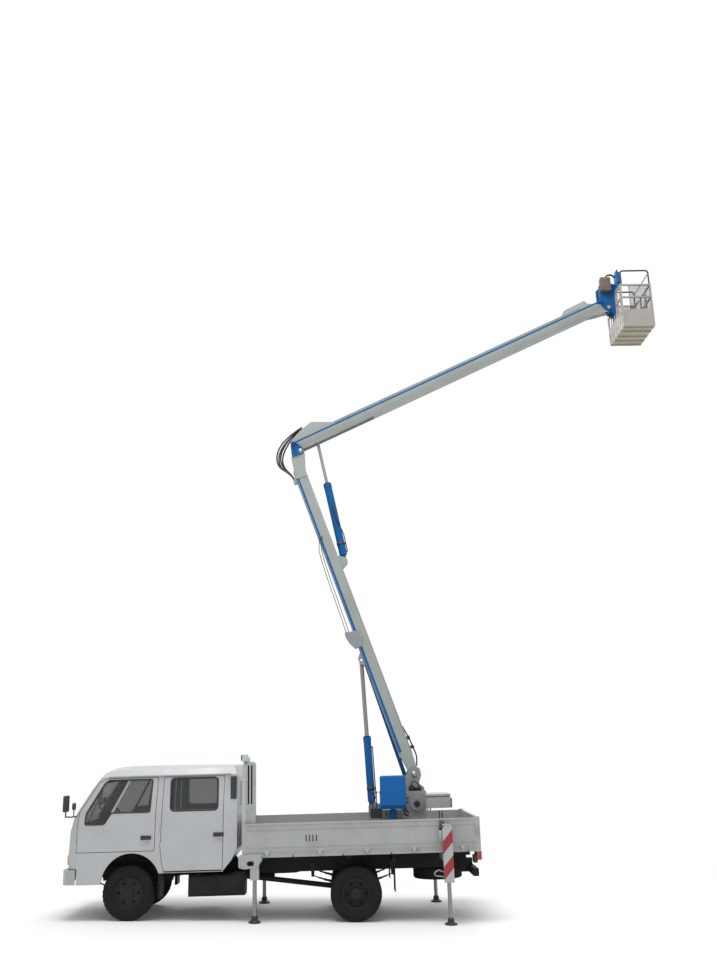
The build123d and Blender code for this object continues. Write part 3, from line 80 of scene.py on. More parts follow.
def worn_paint(name, colour, dirt, amount, scale, rough, coat=0.2, specular=0.4):
    """Paint with uneven grime: a second colour and another roughness come in with a soft noise."""
    mat = principled(name, colour, 0.4, coat=coat, coat_rough=0.2, specular=specular)
    tree = mat.node_tree
    shader = tree.nodes["Principled BSDF"]
    where = tree.nodes.new("ShaderNodeTexCoord")
    noise = tree.nodes.new("ShaderNodeTexNoise")
    noise.inputs["Scale"].default_value = scale
    noise.inputs["Detail"].default_value = 6
    noise.inputs["Roughness"].default_value = 0.6
    spread = tree.nodes.new("ShaderNodeMapRange")
    spread.inputs["From Min"].default_value = 0.45
    spread.inputs["From Max"].default_value = 0.75
    spread.inputs["To Max"].default_value = amount
    mix = tree.nodes.new("ShaderNodeMix")
    mix.data_type = "RGBA"
    mix.inputs["A"].default_value = (*colour, 1)
    mix.inputs["B"].default_value = (*dirt, 1)
    tree.links.new(where.outputs["Object"], noise.inputs["Vector"])
    tree.links.new(noise.outputs["Fac"], spread.inputs["Value"])
    tree.links.new(spread.outputs["Result"], mix.inputs["Factor"])
    tree.links.new(mix.outputs["Result"], shader.inputs["Base Color"])
    roughness = tree.nodes.new("ShaderNodeMapRange")
    roughness.inputs["From Min"].default_value = 0.3
    roughness.inputs["From Max"].default_value = 0.7
    roughness.inputs["To Min"].default_value = rough[0]
    roughness.inputs["To Max"].default_value = rough[1]
    tree.links.new(noise.outputs["Fac"], roughness.inputs["Value"])
    tree.links.new(roughness.outputs["Result"], shader.inputs["Roughness"])
    return mat


# name, colour, its grime, how much of it, how fine the noise is, least and most roughness
# the cab, bed and arm colours hold painted shade: they are written darker than the real, lighter paint, for
# the shade this side of the truck stands in
cab_white_painted_shade = worn_paint("cab_white_painted_shade", (0.41, 0.425, 0.435), (0.29, 0.28, 0.265), 0.3, 2.2, (0.25, 0.45),
                       coat=0.25)
bed_white_painted_shade = worn_paint("bed_white_painted_shade", (0.345, 0.355, 0.355), (0.22, 0.205, 0.185), 0.4, 3.5, (0.35, 0.6))
arm_grey_painted_shade = worn_paint("arm_grey_painted_shade", (0.315, 0.34, 0.325), (0.22, 0.215, 0.19), 0.35, 1.6, (0.35, 0.6),
                      coat=0.1)
crane_blue = worn_paint("crane_blue", (0.006, 0.095, 0.29), (0.025, 0.09, 0.20), 0.4, 4, (0.5, 0.7),
                        coat=0.0, specular=0.15)
seat_blue = worn_paint("seat_blue", (0.007, 0.105, 0.33), (0.03, 0.12, 0.28), 0.3, 5, (0.45, 0.65),
                       coat=0.0, specular=0.15)
turret_grey = worn_paint("turret_grey", (0.24, 0.25, 0.24), (0.12, 0.11, 0.09), 0.5, 4, (0.4, 0.65))
light_grey = worn_paint("light_grey", (0.33, 0.35, 0.35), (0.19, 0.18, 0.16), 0.4, 4, (0.4, 0.6))
chassis_black = worn_paint("chassis_black", (0.012, 0.012, 0.013), (0.035, 0.031, 0.026), 0.6, 5, (0.5, 0.8),
                           coat=0.0, specular=0.15)
cast_dark = worn_paint("cast_dark", (0.022, 0.021, 0.02), (0.06, 0.05, 0.04), 0.6, 7, (0.55, 0.85), coat=0.0,
                       specular=0.25)
tyre_black = worn_paint("tyre_black", (0.012, 0.012, 0.012), (0.028, 0.026, 0.023), 0.6, 6, (0.7, 0.9),
                        coat=0.0,
                        specular=0.15)
rim_grey = worn_paint("rim_grey", (0.018, 0.018, 0.019), (0.036, 0.033, 0.028), 0.6, 9, (0.45, 0.7),
                      coat=0.0,
                      specular=0.2)
basket_grey = worn_paint("basket_grey", (0.34, 0.33, 0.30), (0.22, 0.19, 0.155), 0.35, 4, (0.45, 0.65),
                         coat=0.05)
basket_floor_grey = worn_paint("basket_floor_grey", (0.40, 0.36, 0.29), (0.24, 0.20, 0.15), 0.35, 4,
                               (0.5, 0.7), coat=0.0)
black_rubber = principled("black_rubber", (0.018, 0.018, 0.018), 0.55)
black_trim = principled("black_trim", (0.022, 0.022, 0.024), 0.45)
steel_bright = principled("steel_bright", (0.24, 0.245, 0.25), 0.35, metal=0.6)
rod_lilac = principled("rod_lilac", (0.30, 0.29, 0.34), 0.45, metal=0.3)
zinc = principled("zinc", (0.33, 0.34, 0.35), 0.4, metal=0.7)
dark_fabric = principled("dark_fabric", (0.06, 0.06, 0.065), 0.85)
lamp_clear = principled("lamp_clear", (0.42, 0.44, 0.46), 0.12, coat=1.0, coat_rough=0.02)
lamp_amber = principled("lamp_amber", (0.75, 0.22, 0.02), 0.15, coat=1.0, coat_rough=0.03)
lamp_red = principled("lamp_red", (0.27, 0.008, 0.012), 0.18, coat=1.0, coat_rough=0.03)
rust_brown = worn_paint("rust_brown", (0.15, 0.115, 0.10), (0.055, 0.045, 0.042), 0.7, 9, (0.6, 0.9),
                        coat=0.0)

glass = principled("window_glass", (0.035, 0.045, 0.045), 0.03, coat=0.4, coat_rough=0.01)
glass.node_tree.nodes["Principled BSDF"].inputs["Alpha"].default_value = 0.45


def striped(name, first, second, pitch, slant):
    """Slanting stripes, in the truck's side view."""
    mat = principled(name, first, 0.35, coat=0.2)
    tree = mat.node_tree
    where = tree.nodes.new("ShaderNodeTexCoord")
    split = tree.nodes.new("ShaderNodeSeparateXYZ")
    lean = tree.nodes.new("ShaderNodeMath")
    lean.operation = "MULTIPLY"
    lean.inputs[1].default_value = slant
    total = tree.nodes.new("ShaderNodeMath")
    total.operation = "ADD"
    fraction = tree.nodes.new("ShaderNodeMath")
    fraction.operation = "PINGPONG"
    fraction.inputs[1].default_value = pitch
    step = tree.nodes.new("ShaderNodeMath")
    step.operation = "GREATER_THAN"
    step.inputs[1].default_value = pitch / 2
    mix = tree.nodes.new("ShaderNodeMix")
    mix.data_type = "RGBA"
    mix.inputs["A"].default_value = (*first, 1)
    mix.inputs["B"].default_value = (*second, 1)
    tree.links.new(where.outputs["Object"], split.inputs["Vector"])
    tree.links.new(split.outputs["X"], lean.inputs[0])
    tree.links.new(lean.outputs["Value"], total.inputs[0])
    tree.links.new(split.outputs["Z"], total.inputs[1])
    tree.links.new(total.outputs["Value"], fraction.inputs[0])
    tree.links.new(fraction.outputs["Value"], step.inputs[0])
    tree.links.new(step.outputs["Value"], mix.inputs["Factor"])
    tree.links.new(mix.outputs["Result"], tree.nodes["Principled BSDF"].inputs["Base Color"])
    return mat


bracket_grey = worn_paint("bracket_grey", (0.24, 0.265, 0.29), (0.14, 0.145, 0.15), 0.5, 6, (0.45, 0.6))
mesh_brown = principled("mesh_brown", (0.10, 0.085, 0.08), 0.6, metal=0.3)
cabin_trim = principled("cabin_trim", (0.055, 0.055, 0.052), 0.8)
# both stripe colours hold painted shade: they are written darker than the board's real white and red, like
# the cab's paint
board_stripes = striped("board_stripes", (0.38, 0.375, 0.375), (0.27, 0.008, 0.022), 0.18, -1.2)

FINISHES = {
    cab_white_painted_shade: ["cab_shell", "door_front_left", "door_front_right", "door_rear_left", "door_rear_right"],
    bed_white_painted_shade: ["cargo_bed", "tailgate", "outrigger_casings", "equipment_box"],
    arm_grey_painted_shade: ["lower_boom", "upper_boom"],
    crane_blue: ["lower_tie_rod", "upper_tie_rod", "elbow_plate", "lower_cylinder", "upper_cylinder"],
    seat_blue: ["operator_seat"],
    turret_grey: ["turret", "pedestal"],
    light_grey: ["front_bumper", "boom_rest"],
    chassis_black: ["chassis_frame", "side_tanks", "rear_guards"],
    cast_dark: ["power_train", "front_axle", "rear_axle", "leaf_springs", "knuckle_left", "knuckle_right",
                "upper_tie_pin", "basket_pin"],
    tyre_black: ["front_tyre_left", "front_tyre_right", "rear_tyres_left", "rear_tyres_right",
                 "spare_wheel"],
    rim_grey: ["front_rim_left", "front_rim_right", "rear_rims_left", "rear_rims_right"],
    basket_grey: ["basket"],
    steel_bright: ["lower_rod", "jack_front_left", "jack_front_right", "jack_rear_left", "jack_rear_right"],
    rod_lilac: ["upper_rod"],
    glass: ["cab_glass", "glass_front_left", "glass_front_right", "glass_rear_left", "glass_rear_right"],
    black_trim: ["cab_interior", "mirrors"],
    dark_fabric: ["cab_seats"],
    lamp_clear: ["lamps"],
    board_stripes: ["warning_boards"],
    black_rubber: ["elbow_hoses"],
}
for material, names in FINISHES.items():
    for name in names:
        data = nodes[name].data
        data.materials.clear()
        data.materials.append(material)

# ---------------------------------------------------------------- building pieces in the truck's axes
def add_box(bm, x, y, z):
    sides = [sorted(pair) for pair in (x, y, z)]
    middle = Vector([(a + b) / 2 for a, b in sides])
    size = Matrix.Diagonal([b - a for a, b in sides] + [1])
    bmesh.ops.create_cube(bm, size=1, matrix=Matrix.Translation(middle) @ size)


def add_rod(bm, start, end, radius, sides=20, tip=None):
    start, end = Vector(start), Vector(end)
    run = end - start
    turn = run.to_track_quat("Z", "Y").to_matrix().to_4x4()
    bmesh.ops.create_cone(bm, cap_ends=True, segments=sides, radius1=radius,
                          radius2=radius if tip is None else tip,
                          depth=run.length, matrix=Matrix.Translation((start + end) / 2) @ turn)


def add_ball(bm, centre, radius):
    bmesh.ops.create_uvsphere(bm, u_segments=20, v_segments=12, radius=radius,
                              matrix=Matrix.Translation(centre))


def add_plate(bm, outline, y0, y1):
    """A flat plate with an outline of (x, z) between two places across."""
    near = [bm.verts.new((x, y0, z)) for x, z in outline]
    far = [bm.verts.new((x, y1, z)) for x, z in outline]
    bm.faces.new(near)
    bm.faces.new(far[::-1])
    for i in range(len(outline)):
        n = (i + 1) % len(outline)
        bm.faces.new((near[i], near[n], far[n], far[i]))


def smooth_path(points, steps=8):
    """Catmull-Rom points through the given ones."""
    points = [Vector(p) for p in points]
    rows = [points[0] * 2 - points[1]] + points + [points[-1] * 2 - points[-2]]
    path = []
    for i in range(1, len(rows) - 2):
        a, b, c, d = rows[i - 1:i + 3]
        for step in range(steps):
            t = step / steps
            path.append(0.5 * (2 * b + (c - a) * t + (2 * a - 5 * b + 4 * c - d) * t ** 2
                               + (3 * b - a - 3 * c + d) * t ** 3))
    return path + [points[-1]]


def add_tube(bm, path, radius, sides=10):
    """A round tube along a path of points."""
    loops = []
    normal = Vector((0, 1, 0))
    for i, spot in enumerate(path):
        ahead_of = path[min(i + 1, len(path) - 1)] - path[max(i - 1, 0)]
        ahead_of.normalize()
        normal = (normal - ahead_of * normal.dot(ahead_of)).normalized()
        side = ahead_of.cross(normal)
        turns = [2 * pi * k / sides for k in range(sides)]
        ring = [spot + radius * (normal * cos(turn) + side * sin(turn)) for turn in turns]
        loops.append([bm.verts.new(place) for place in ring])
    for first, second in zip(loops, loops[1:]):
        for k in range(sides):
            bm.faces.new((first[k], first[(k + 1) % sides], second[(k + 1) % sides], second[k]))
    bm.faces.new(loops[0][::-1])
    bm.faces.new(loops[-1])


def add_lathe(bm, profile, centre, turns=48, wave=None):
    """A profile of (across, radius) turned about a line along Y through the centre."""
    loops = []
    for k in range(turns):
        angle = 2 * pi * k / turns
        ring = []
        for j, (across_at, radius) in enumerate(profile):
            grown_r = radius + (wave(j, k) if wave else 0)
            ring.append(bm.verts.new((centre[0] + grown_r * cos(angle), centre[1] + across_at,
                                      centre[2] + grown_r * sin(angle))))
        loops.append(ring)
    for k in range(turns):
        first, second = loops[k], loops[(k + 1) % turns]
        for j in range(len(profile)):
            n = (j + 1) % len(profile)
            bm.faces.new((first[j], first[n], second[n], second[j]))


def made(name, bm, material, body, smooth=True, bevel=0.0, in_truck=True):
    """The bmesh, drawn in the truck's axes, as a piece that rides on a body (or on none yet)."""
    bmesh.ops.recalc_face_normals(bm, faces=bm.faces)
    if in_truck:
        bmesh.ops.transform(bm, matrix=TRUCK, verts=bm.verts)
    mesh = bpy.data.meshes.new(name)
    bm.to_mesh(mesh)
    bm.free()
    mesh.materials.append(material)
    piece = bpy.data.objects.new(name, mesh)
    bpy.context.collection.objects.link(piece)
    if bevel:
        edge = piece.modifiers.new("bevel", "BEVEL")
        edge.width = bevel
        edge.segments = 2
        edge.limit_method = "ANGLE"
    if smooth:
        mesh.shade_smooth()
    if body:
        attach(piece, body)
    return piece


def boxes(name, rows, material, body, bevel=0.0):
    bm = bmesh.new()
    for x, y, z in rows:
        add_box(bm, x, y, z)
    return made(name, bm, material, body, smooth=False, bevel=bevel)


def rods(name, rows, material, body, sides=20):
    bm = bmesh.new()
    for start, end, radius in rows:
        add_rod(bm, start, end, radius, sides)
    return made(name, bm, material, body)


def tube(name, points, radius, material, body):
    bm = bmesh.new()
    add_tube(bm, smooth_path(points), radius)
    return made(name, bm, material, body)


def repaint(node, material, test):
    """Gives another finish to the faces of a CAD node whose middle, in the truck's axes, passes the test."""
    data = nodes[node].data
    data.materials.append(material)
    index = len(data.materials) - 1
    for face in data.polygons:
        if test(BACK @ face.center):
            face.material_index = index


def line_inside(node, material):
    """Another finish for the faces of a cab panel that look in at the cab's middle."""
    data = nodes[node].data
    data.materials.append(material)
    index = len(data.materials) - 1
    for face in data.polygons:
        spot = BACK @ face.center
        in_cab = CAB_X[0] < spot.x < CAB_X[1] and CAB_Z[0] < spot.z < CAB_Z[1]
        if in_cab and face.normal.dot(CAB_MIDDLE - face.center) > 0.35:
            face.material_index = index


CAB_X, CAB_Z = (-0.98, 1.58), (0.74, 2.14)      # where the lining may be
CAB_MIDDLE = TRUCK @ Vector((0.35, 0, 1.45))

# ---------------------------------------------------------------- tyres and wheels
# half of a tyre's section: across from its middle, and radius
SECTION = [(-0.060, 0.205), (-0.074, 0.214), (-0.084, 0.232), (-0.0890, 0.262), (-0.0900, 0.296),
           (-0.0870, 0.326),
           (-0.0840, 0.330), (-0.0825, 0.350), (-0.0720, 0.368), (-0.0700, 0.3735), (-0.0500, 0.3748),
           (-0.0480, 0.366), (-0.0400, 0.366), (-0.0380, 0.3750), (-0.0060, 0.3750), (-0.0040, 0.366)]
SECTION += [(-y, r) for y, r in reversed(SECTION)]


def tread(j, k):
    """Shoulder blocks: every third step round the tyre dips at the shoulders."""
    shoulder = j in (8, 9, 10, 21, 22, 23)
    return -0.009 if shoulder and k % 3 == 0 else 0.0


def tyre(name, nodes_for, centres, body):
    bm = bmesh.new()
    for centre in centres:
        add_lathe(bm, SECTION, centre, 108, tread)
        for radius in (0.246, 0.312):
            for side in (-1, 1):
                edge = 0.0885 if radius < 0.3 else 0.0893
                ring = [(side * (edge - 0.002), radius - 0.004), (side * (edge + 0.0012), radius - 0.002),
                        (side * (edge + 0.0012), radius + 0.002), (side * (edge - 0.002), radius + 0.004)]
                add_lathe(bm, ring, centre, 72)
    piece = made(name, bm, tyre_black, body)
    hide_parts(nodes_for)
    return piece


WHEELBASE = 3.308
AXLE_FRONT, AXLE_REAR = (0, WHEEL_Z), (WHEELBASE * cos(RAKE), WHEEL_Z - WHEELBASE * sin(RAKE))
TRACK_FRONT, TRACK_REAR = 0.735, 0.830          # how far out a tyre's middle is, the outer one's at the rear
TWIN_PITCH = 0.208                              # between the middles of twin tyres
NUT_CIRCLE = 0.055
DRUM = [(-0.080, 0.040), (-0.080, 0.150), (-0.072, 0.168), (-0.026, 0.170), (-0.020, 0.160), (-0.020, 0.040)]
# end, wheel's outer face, nuts, its bodies, axle
HUBS = (("front", TRACK_FRONT + 0.028, 5, "front_wheel_", AXLE_FRONT),
        ("rear", TRACK_REAR - 0.030, 6, "rear_wheels_", AXLE_REAR))
for side, sign in SIDES:
    tyre("tyre_front_" + side, "front_tyre_" + side, [(0, sign * TRACK_FRONT, WHEEL_Z)],
         "front_wheel_" + side)
    twins = [(AXLE_REAR[0], sign * (TRACK_REAR - step * TWIN_PITCH), AXLE_REAR[1]) for step in (0, 1)]
    tyre("tyres_rear_" + side, "rear_tyres_" + side, twins, "rear_wheels_" + side)
    for end, out, count, body, axle in HUBS:
        face = sign * out
        drum = bmesh.new()
        add_lathe(drum, DRUM, (axle[0], 0, axle[1]), 48)
        for v in drum.verts:
            v.co.y = face + sign * v.co.y
        made("brake_drum_" + end + "_" + side, drum, chassis_black, body + side)
        nuts = bmesh.new()
        for k in range(count):
            angle = 2 * pi * k / count + 0.3
            x, z = axle[0] + NUT_CIRCLE * cos(angle), axle[1] + NUT_CIRCLE * sin(angle)
            for inner, outer, radius, flats in ((-0.012, 0.016, 0.0125, 6), (0.010, 0.026, 0.0065, 12)):
                add_rod(nuts, (x, face + sign * inner, z), (x, face + sign * outer, z), radius, flats)
        made("wheel_nuts_" + end + "_" + side, nuts, cast_dark, body + side)
        lid = bmesh.new()
        add_rod(lid, (axle[0], face - sign * 0.02, axle[1]), (axle[0], face + sign * 0.030, axle[1]), 0.034,
                28, tip=0.027)
        made("hub_cap_" + end + "_" + side, lid, cast_dark, body + side, bevel=0.004)

# ---------------------------------------------------------------- cab
CAB_HALF, BELT, EAVE = 0.900, 1.490, 1.991


def skin_y(z):
    """How far out the cab's side is at a height."""
    if z <= BELT:
        return CAB_HALF
    return CAB_HALF - 0.042 * min(1.0, (z - BELT) / (EAVE - BELT))


def rounded(points, radius):
    """A closed outline with its corners rounded."""
    steps = 5
    loop = []
    count = len(points)
    for i in range(count):
        before, corner, after = (Vector(points[(i + k) % count]) for k in (-1, 0, 1))
        reach_in = min(radius, (before - corner).length * 0.45)
        reach_out = min(radius, (after - corner).length * 0.45)
        start = corner + (before - corner).normalized() * reach_in
        end = corner + (after - corner).normalized() * reach_out
        for step in range(steps + 1):
            t = step / steps
            loop.append(start * (1 - t) ** 2 + corner * 2 * t * (1 - t) + end * t ** 2)
    return loop


def swollen(loop, amount):
    """The loop moved outward by an amount."""
    middle = sum(loop, Vector((0, 0))) / len(loop)
    count = len(loop)
    moved = []
    for i, spot in enumerate(loop):
        run = (loop[(i + 1) % count] - loop[i - 1]).normalized()
        out = Vector((run.y, -run.x))
        if out.dot(spot - middle) < 0:
            out = -out
        moved.append(spot + out * amount)
    return moved


def side_seal(name, loop, inner, outer, stand, material, body, sign):
    """A flat rubber frame on the cab's side, from inner to outer beyond the loop."""
    bm = bmesh.new()
    rows = []
    for amount, lift in ((inner, -0.004), (inner, stand), (outer, stand), (outer, -0.004)):
        rows.append([bm.verts.new((p.x, sign * (skin_y(p.y) + lift), p.y)) for p in swollen(loop, amount)])
    count = len(loop)
    for first, second in zip(rows, rows[1:] + rows[:1]):
        for i in range(count):
            n = (i + 1) % count
            bm.faces.new((first[i], first[n], second[n], second[i]))
    return made(name, bm, material, body)


FRONT_WINDOW = [(-0.647, 1.334), (-0.375, 1.334), (-0.272, 1.490), (0.290, 1.490), (0.318, 1.945),
                (-0.330, 1.945), (-0.385, 1.900), (-0.633, 1.490)]
REAR_WINDOW = [(0.597, 1.497), (1.287, 1.497), (1.287, 1.950), (0.597, 1.950)]
# the front window's divider: foot, half its width, depth
BAR_FOOT, BAR_HALF, BAR_IN = -0.262, 0.018, 0.014
HANDLES = (("handle_front_", 0.180, 1.118), ("handle_rear_", 1.240, 1.135))
for side, sign in SIDES:
    front_body, rear_body = "door_front_" + side, "door_rear_" + side
    side_seal("seal_front_" + side, rounded(FRONT_WINDOW, 0.030), -0.010, 0.012, 0.003, black_rubber,
              front_body, sign)
    side_seal("seal_rear_" + side, rounded(REAR_WINDOW, 0.062), -0.012, 0.014, 0.003, black_rubber,
              rear_body, sign)
    # the divider of the front window
    bm = bmesh.new()
    for step in range(6):
        z0, z1 = BELT + 0.075 * step, BELT + 0.075 * (step + 1)
        x0, x1 = BAR_FOOT + 0.040 * step, BAR_FOOT + 0.040 * (step + 1)
        y = sign * (skin_y(z0) - BAR_IN)
        top_y = sign * (skin_y(z1) - BAR_IN)
        bottom = [(x0 - BAR_HALF, y, z0), (x0 + BAR_HALF, y, z0)]
        top = [(x1 + BAR_HALF, top_y, z1), (x1 - BAR_HALF, top_y, z1)]
        bm.faces.new([bm.verts.new(spot) for spot in bottom + top])
    bar = made("window_bar_" + side, bm, zinc, front_body, smooth=False)
    thick = bar.modifiers.new("thick", "SOLIDIFY")
    thick.thickness = 0.014
    thick.offset = 0
    for (name, x, z), body in zip(HANDLES, (front_body, rear_body)):
        recess = ((x - 0.012, x + 0.142), (sign * 0.899, sign * 0.9035), (z - 0.014, z + 0.044))
        grip = ((x - 0.004, x + 0.134), (sign * 0.921, sign * 0.9365), (z - 0.003, z + 0.031))
        boxes(name + side, [recess, grip], black_trim, body, bevel=0.003)
        rods("lock_" + name + side,
             [((x + 0.085, sign * 0.895, z - 0.058), (x + 0.085, sign * 0.905, z - 0.058), 0.011)], zinc,
             body)
    # the vent on the rear pillar
    boxes("vent_frame_" + side, [((1.478, 1.566), (sign * 0.852, sign * 0.896), (1.640, 1.960))], black_trim,
          "truck", 0.004)
    rows = []
    for k in range(7):
        z = 1.656 + 0.045 * k
        skin = skin_y(z + 0.004)
        rows.append(((1.486, 1.558), (sign * (skin - 0.010), sign * (skin + 0.010)), (z, z + 0.014)))
    boxes("vent_slats_" + side, rows, black_rubber, "truck")
    # the rubber under the rear door
    boxes("sill_strip_" + side, [((0.520, 1.352), (sign * 0.894, sign * 0.9045), (0.655, 0.668))],
          chassis_black, rear_body)

# the cab's lining
for node in ("cab_shell", "door_front_left", "door_front_right", "door_rear_left", "door_rear_right"):
    line_inside(node, cabin_trim)

# wipers, grille and lamps
bm = bmesh.new()
x, z = -0.852, 1.300
for y in (0.30, -0.36):
    add_rod(bm, (x - 0.012, y, z), (x + 0.010, y - 0.24, z + 0.055), 0.007, 10)
    add_rod(bm, (x - 0.002, y - 0.10, z + 0.03), (x + 0.200, y - 0.40, z + 0.36), 0.006, 10)
made("wipers", bm, black_trim, "truck")
bars = [((-0.892, -0.872), (-0.47, 0.47), (0.800 + 0.026 * k, 0.812 + 0.026 * k)) for k in range(5)]
boxes("grille_bars", bars, black_trim, "truck", 0.002)
# each bar's ends across, and up
LAMP_FRAME = ((0.508, 0.520, 0.778, 0.927), (0.760, 0.775, 0.778, 0.927), (0.508, 0.775, 0.915, 0.927),
              (0.508, 0.775, 0.778, 0.790))
bars = [((-0.884, -0.868), (-0.60, 0.60), (1.010 + 0.02 * k, 1.020 + 0.02 * k)) for k in range(3)]
boxes("front_vent", bars, black_trim, "truck")
for side, sign in SIDES:
    frame_bars = [((-0.900, -0.885), (sign * y0, sign * y1), (z0, z1)) for y0, y1, z0, z1 in LAMP_FRAME]
    boxes("lamp_frame_" + side, frame_bars, zinc, "truck", 0.002)
repaint("lamps", lamp_amber, lambda p: p.x < 0 and 0.770 < abs(p.y) < 0.830)
repaint("lamps", lamp_red, lambda p: p.x > 3)
repaint("front_bumper", black_trim, lambda p: p.x > -0.88 and abs(p.y) < 0.5)

# ---------------------------------------------------------------- headboard post and bed
repaint("boom_rest", cab_white_painted_shade, lambda p: p.x < 1.716 and p.y < -0.8 and p.z < 2.13)
repaint("boom_rest", black_rubber,
        lambda p: 1.730 < p.x < 1.810 and -0.9395 < p.y < -0.8 and 1.56 < p.z < 2.11)
repaint("boom_rest", lamp_clear, lambda p: p.z > 2.165 and p.y < -0.8)
rods("work_lamp_rim", [((1.632, -0.905, 2.222), (1.650, -0.905, 2.222), 0.046)], black_trim, "truck")

BED_HALF = 1.0
BED_RIBS = ((1.262, 1.290), (1.196, 1.206), (0.958, 0.976), (0.904, 0.916))
BED_HINGES = (2.024, 2.790, 3.480, 4.170, 4.877)
BED_SLOTS = (2.584, 2.634, 2.684, 2.734)
ROPE_HOOKS = (1.95, 2.40, 3.13, 3.83, 4.95)


def from_side(sign, inner, outer):
    """Two places across, given out from the bed's side."""
    return sign * (BED_HALF + inner), sign * (BED_HALF + outer)


for side, sign in SIDES:
    boxes("bed_ribs_" + side, [((1.722, 5.062), from_side(sign, -0.002, 0.007), rib) for rib in BED_RIBS],
          bed_white_painted_shade, "truck", bevel=0.003)
    rows = []
    for x in BED_HINGES:
        rows.append(((x - 0.045, x + 0.045), from_side(sign, -0.002, 0.014), (0.868, 0.925)))
        rows.append(((x - 0.022, x + 0.022), from_side(sign, -0.002, 0.022), (0.838, 0.884)))
    boxes("bed_hinges_" + side, rows, bed_white_painted_shade, "truck", bevel=0.004)
    y = sign * (BED_HALF + 0.014)
    rods("bed_hinge_pins_" + side, [((x - 0.05, y, 0.880), (x + 0.05, y, 0.880), 0.008) for x in BED_HINGES],
         zinc, "truck")
    boxes("bed_slots_" + side,
          [((x, x + 0.016), from_side(sign, -0.001, 0.0025), (1.026, 1.118)) for x in BED_SLOTS],
          black_rubber, "truck")
    boxes("bed_catch_" + side, [((5.072, 5.118), from_side(sign, 0.002, 0.020), (1.090, 1.170)),
                                ((5.084, 5.106), from_side(sign, 0.018, 0.034), (1.060, 1.130))],
          zinc, "truck", 0.003)
    inner, outer = from_side(sign, -0.010, 0.030)
    rods("rope_hooks_" + side, [((x, inner, 0.838), (x, outer, 0.826), 0.008) for x in ROPE_HOOKS],
         cast_dark, "truck", 10)
    for name, x, y, z, material, edge in (
            ("box", (5.040, 5.092), (0.720, 0.900), (0.655, 0.760), black_trim, 0.004),
            ("red", (5.092, 5.100), (0.726, 0.800), (0.662, 0.753), lamp_red, 0.002),
            ("amber", (5.092, 5.100), (0.804, 0.894), (0.662, 0.753), lamp_amber, 0.002)):
        boxes("tail_lamp_" + name + "_" + side, [(x, (sign * y[0], sign * y[1]), z)], material, "truck",
              edge)
boxes("gate_ribs", [((5.138, 5.148), (-0.93, 0.93), rib) for rib in (*BED_RIBS[:2], (0.985, 1.000))],
      bed_white_painted_shade, "tailgate", bevel=0.003)

# ---------------------------------------------------------------- jacks
BRACKET = [(1.610, 0.870), (1.612, 0.690), (1.700, 0.672), (1.870, 0.690), (1.955, 0.790), (1.965, 0.870)]
BRACKET_Y = (1.0205, 1.0125)
BRACKET_HOLES = (1.768, 1.804)
BRACKET_BOLTS = ((1.655, 0.720), (1.900, 0.790))
bm = bmesh.new()
for side, sign in SIDES:
    add_plate(bm, rounded(BRACKET, 0.03), sign * BRACKET_Y[0], sign * BRACKET_Y[1])
made("jack_bracket_plates", bm, bed_white_painted_shade, "truck", smooth=False)
holes = [((x, sign * 1.0200, 0.748), (x, sign * 1.0215, 0.748), 0.034) for x in BRACKET_HOLES
         for side, sign in SIDES]
rods("jack_bracket_holes", holes, chassis_black, "truck", 28)
bolts = [((x, sign * 1.0200, z), (x, sign * 1.0290, z), 0.011) for x, z in BRACKET_BOLTS
         for side, sign in SIDES]
rods("jack_bracket_bolts", bolts, zinc, "truck", 6)
REAR_JACK_HOSES = (      # name, (x, |y|, z) along it, radius, finish
    ("upper", ((4.560, 0.960, 1.400), (4.556, 0.965, 1.300), (4.556, 1.030, 1.240), (4.545, 1.065, 1.150)),
     0.010, black_rubber),
    ("lower", ((4.600, 0.960, 1.400), (4.598, 0.968, 1.300), (4.592, 1.030, 1.225), (4.560, 1.075, 1.130)),
     0.010, black_rubber),
    ("arc", ((4.580, 1.080, 0.560), (4.500, 1.085, 0.590), (4.440, 1.085, 0.555), (4.455, 1.080, 0.520),
             (4.580, 1.085, 0.500)),
     0.008, bed_white_painted_shade),
)
for side, sign in SIDES:
    for end, shoe_top in (("front", 0.145), ("rear", 0.060)):
        repaint("jack_" + end + "_" + side, black_trim, lambda p: p.z < shoe_top)
    for name, points, radius, material in REAR_JACK_HOSES:
        tube("jack_hose_" + name + "_" + side, [(x, sign * y, z) for x, y, z in points], radius, material,
             "truck")
    x, y = 4.548, sign * 1.100
    rods("jack_tube_" + side, [((x, y, 0.960), (x, y, 1.140), 0.020)], bed_white_painted_shade, "truck")
    rods("jack_tube_cap_" + side, [((x, y, 1.138), (x, y, 1.175), 0.022)], black_trim, "truck")

# ---------------------------------------------------------------- the arms' own axes
LIFT_PIN, ELBOW_PIN = (4.270, 1.900), (2.540, 7.260)
LOWER_TURN = atan2(ELBOW_PIN[1] - LIFT_PIN[1], ELBOW_PIN[0] - LIFT_PIN[0])
UPPER_TURN = radians(24.9)
UPPER_LENGTH = 6.160
BASKET_PIN = (ELBOW_PIN[0] + UPPER_LENGTH * cos(UPPER_TURN), ELBOW_PIN[1] + UPPER_LENGTH * sin(UPPER_TURN))
LOWER_HALF, UPPER_HALF = 0.100, 0.086           # half the arms' widths


def arm_axes(origin, turn):
    """Truck axes from (along, across, square) in an arm's axes: across is the truck's y."""
    return Matrix(((cos(turn), 0, -sin(turn), origin[0]), (0, 1, 0, 0), (sin(turn), 0, cos(turn), origin[1]),
                   (0, 0, 0, 1)))


LOWER, UPPER = arm_axes(LIFT_PIN, LOWER_TURN), arm_axes(ELBOW_PIN, UPPER_TURN)
UPPER_BACK = UPPER.inverted()


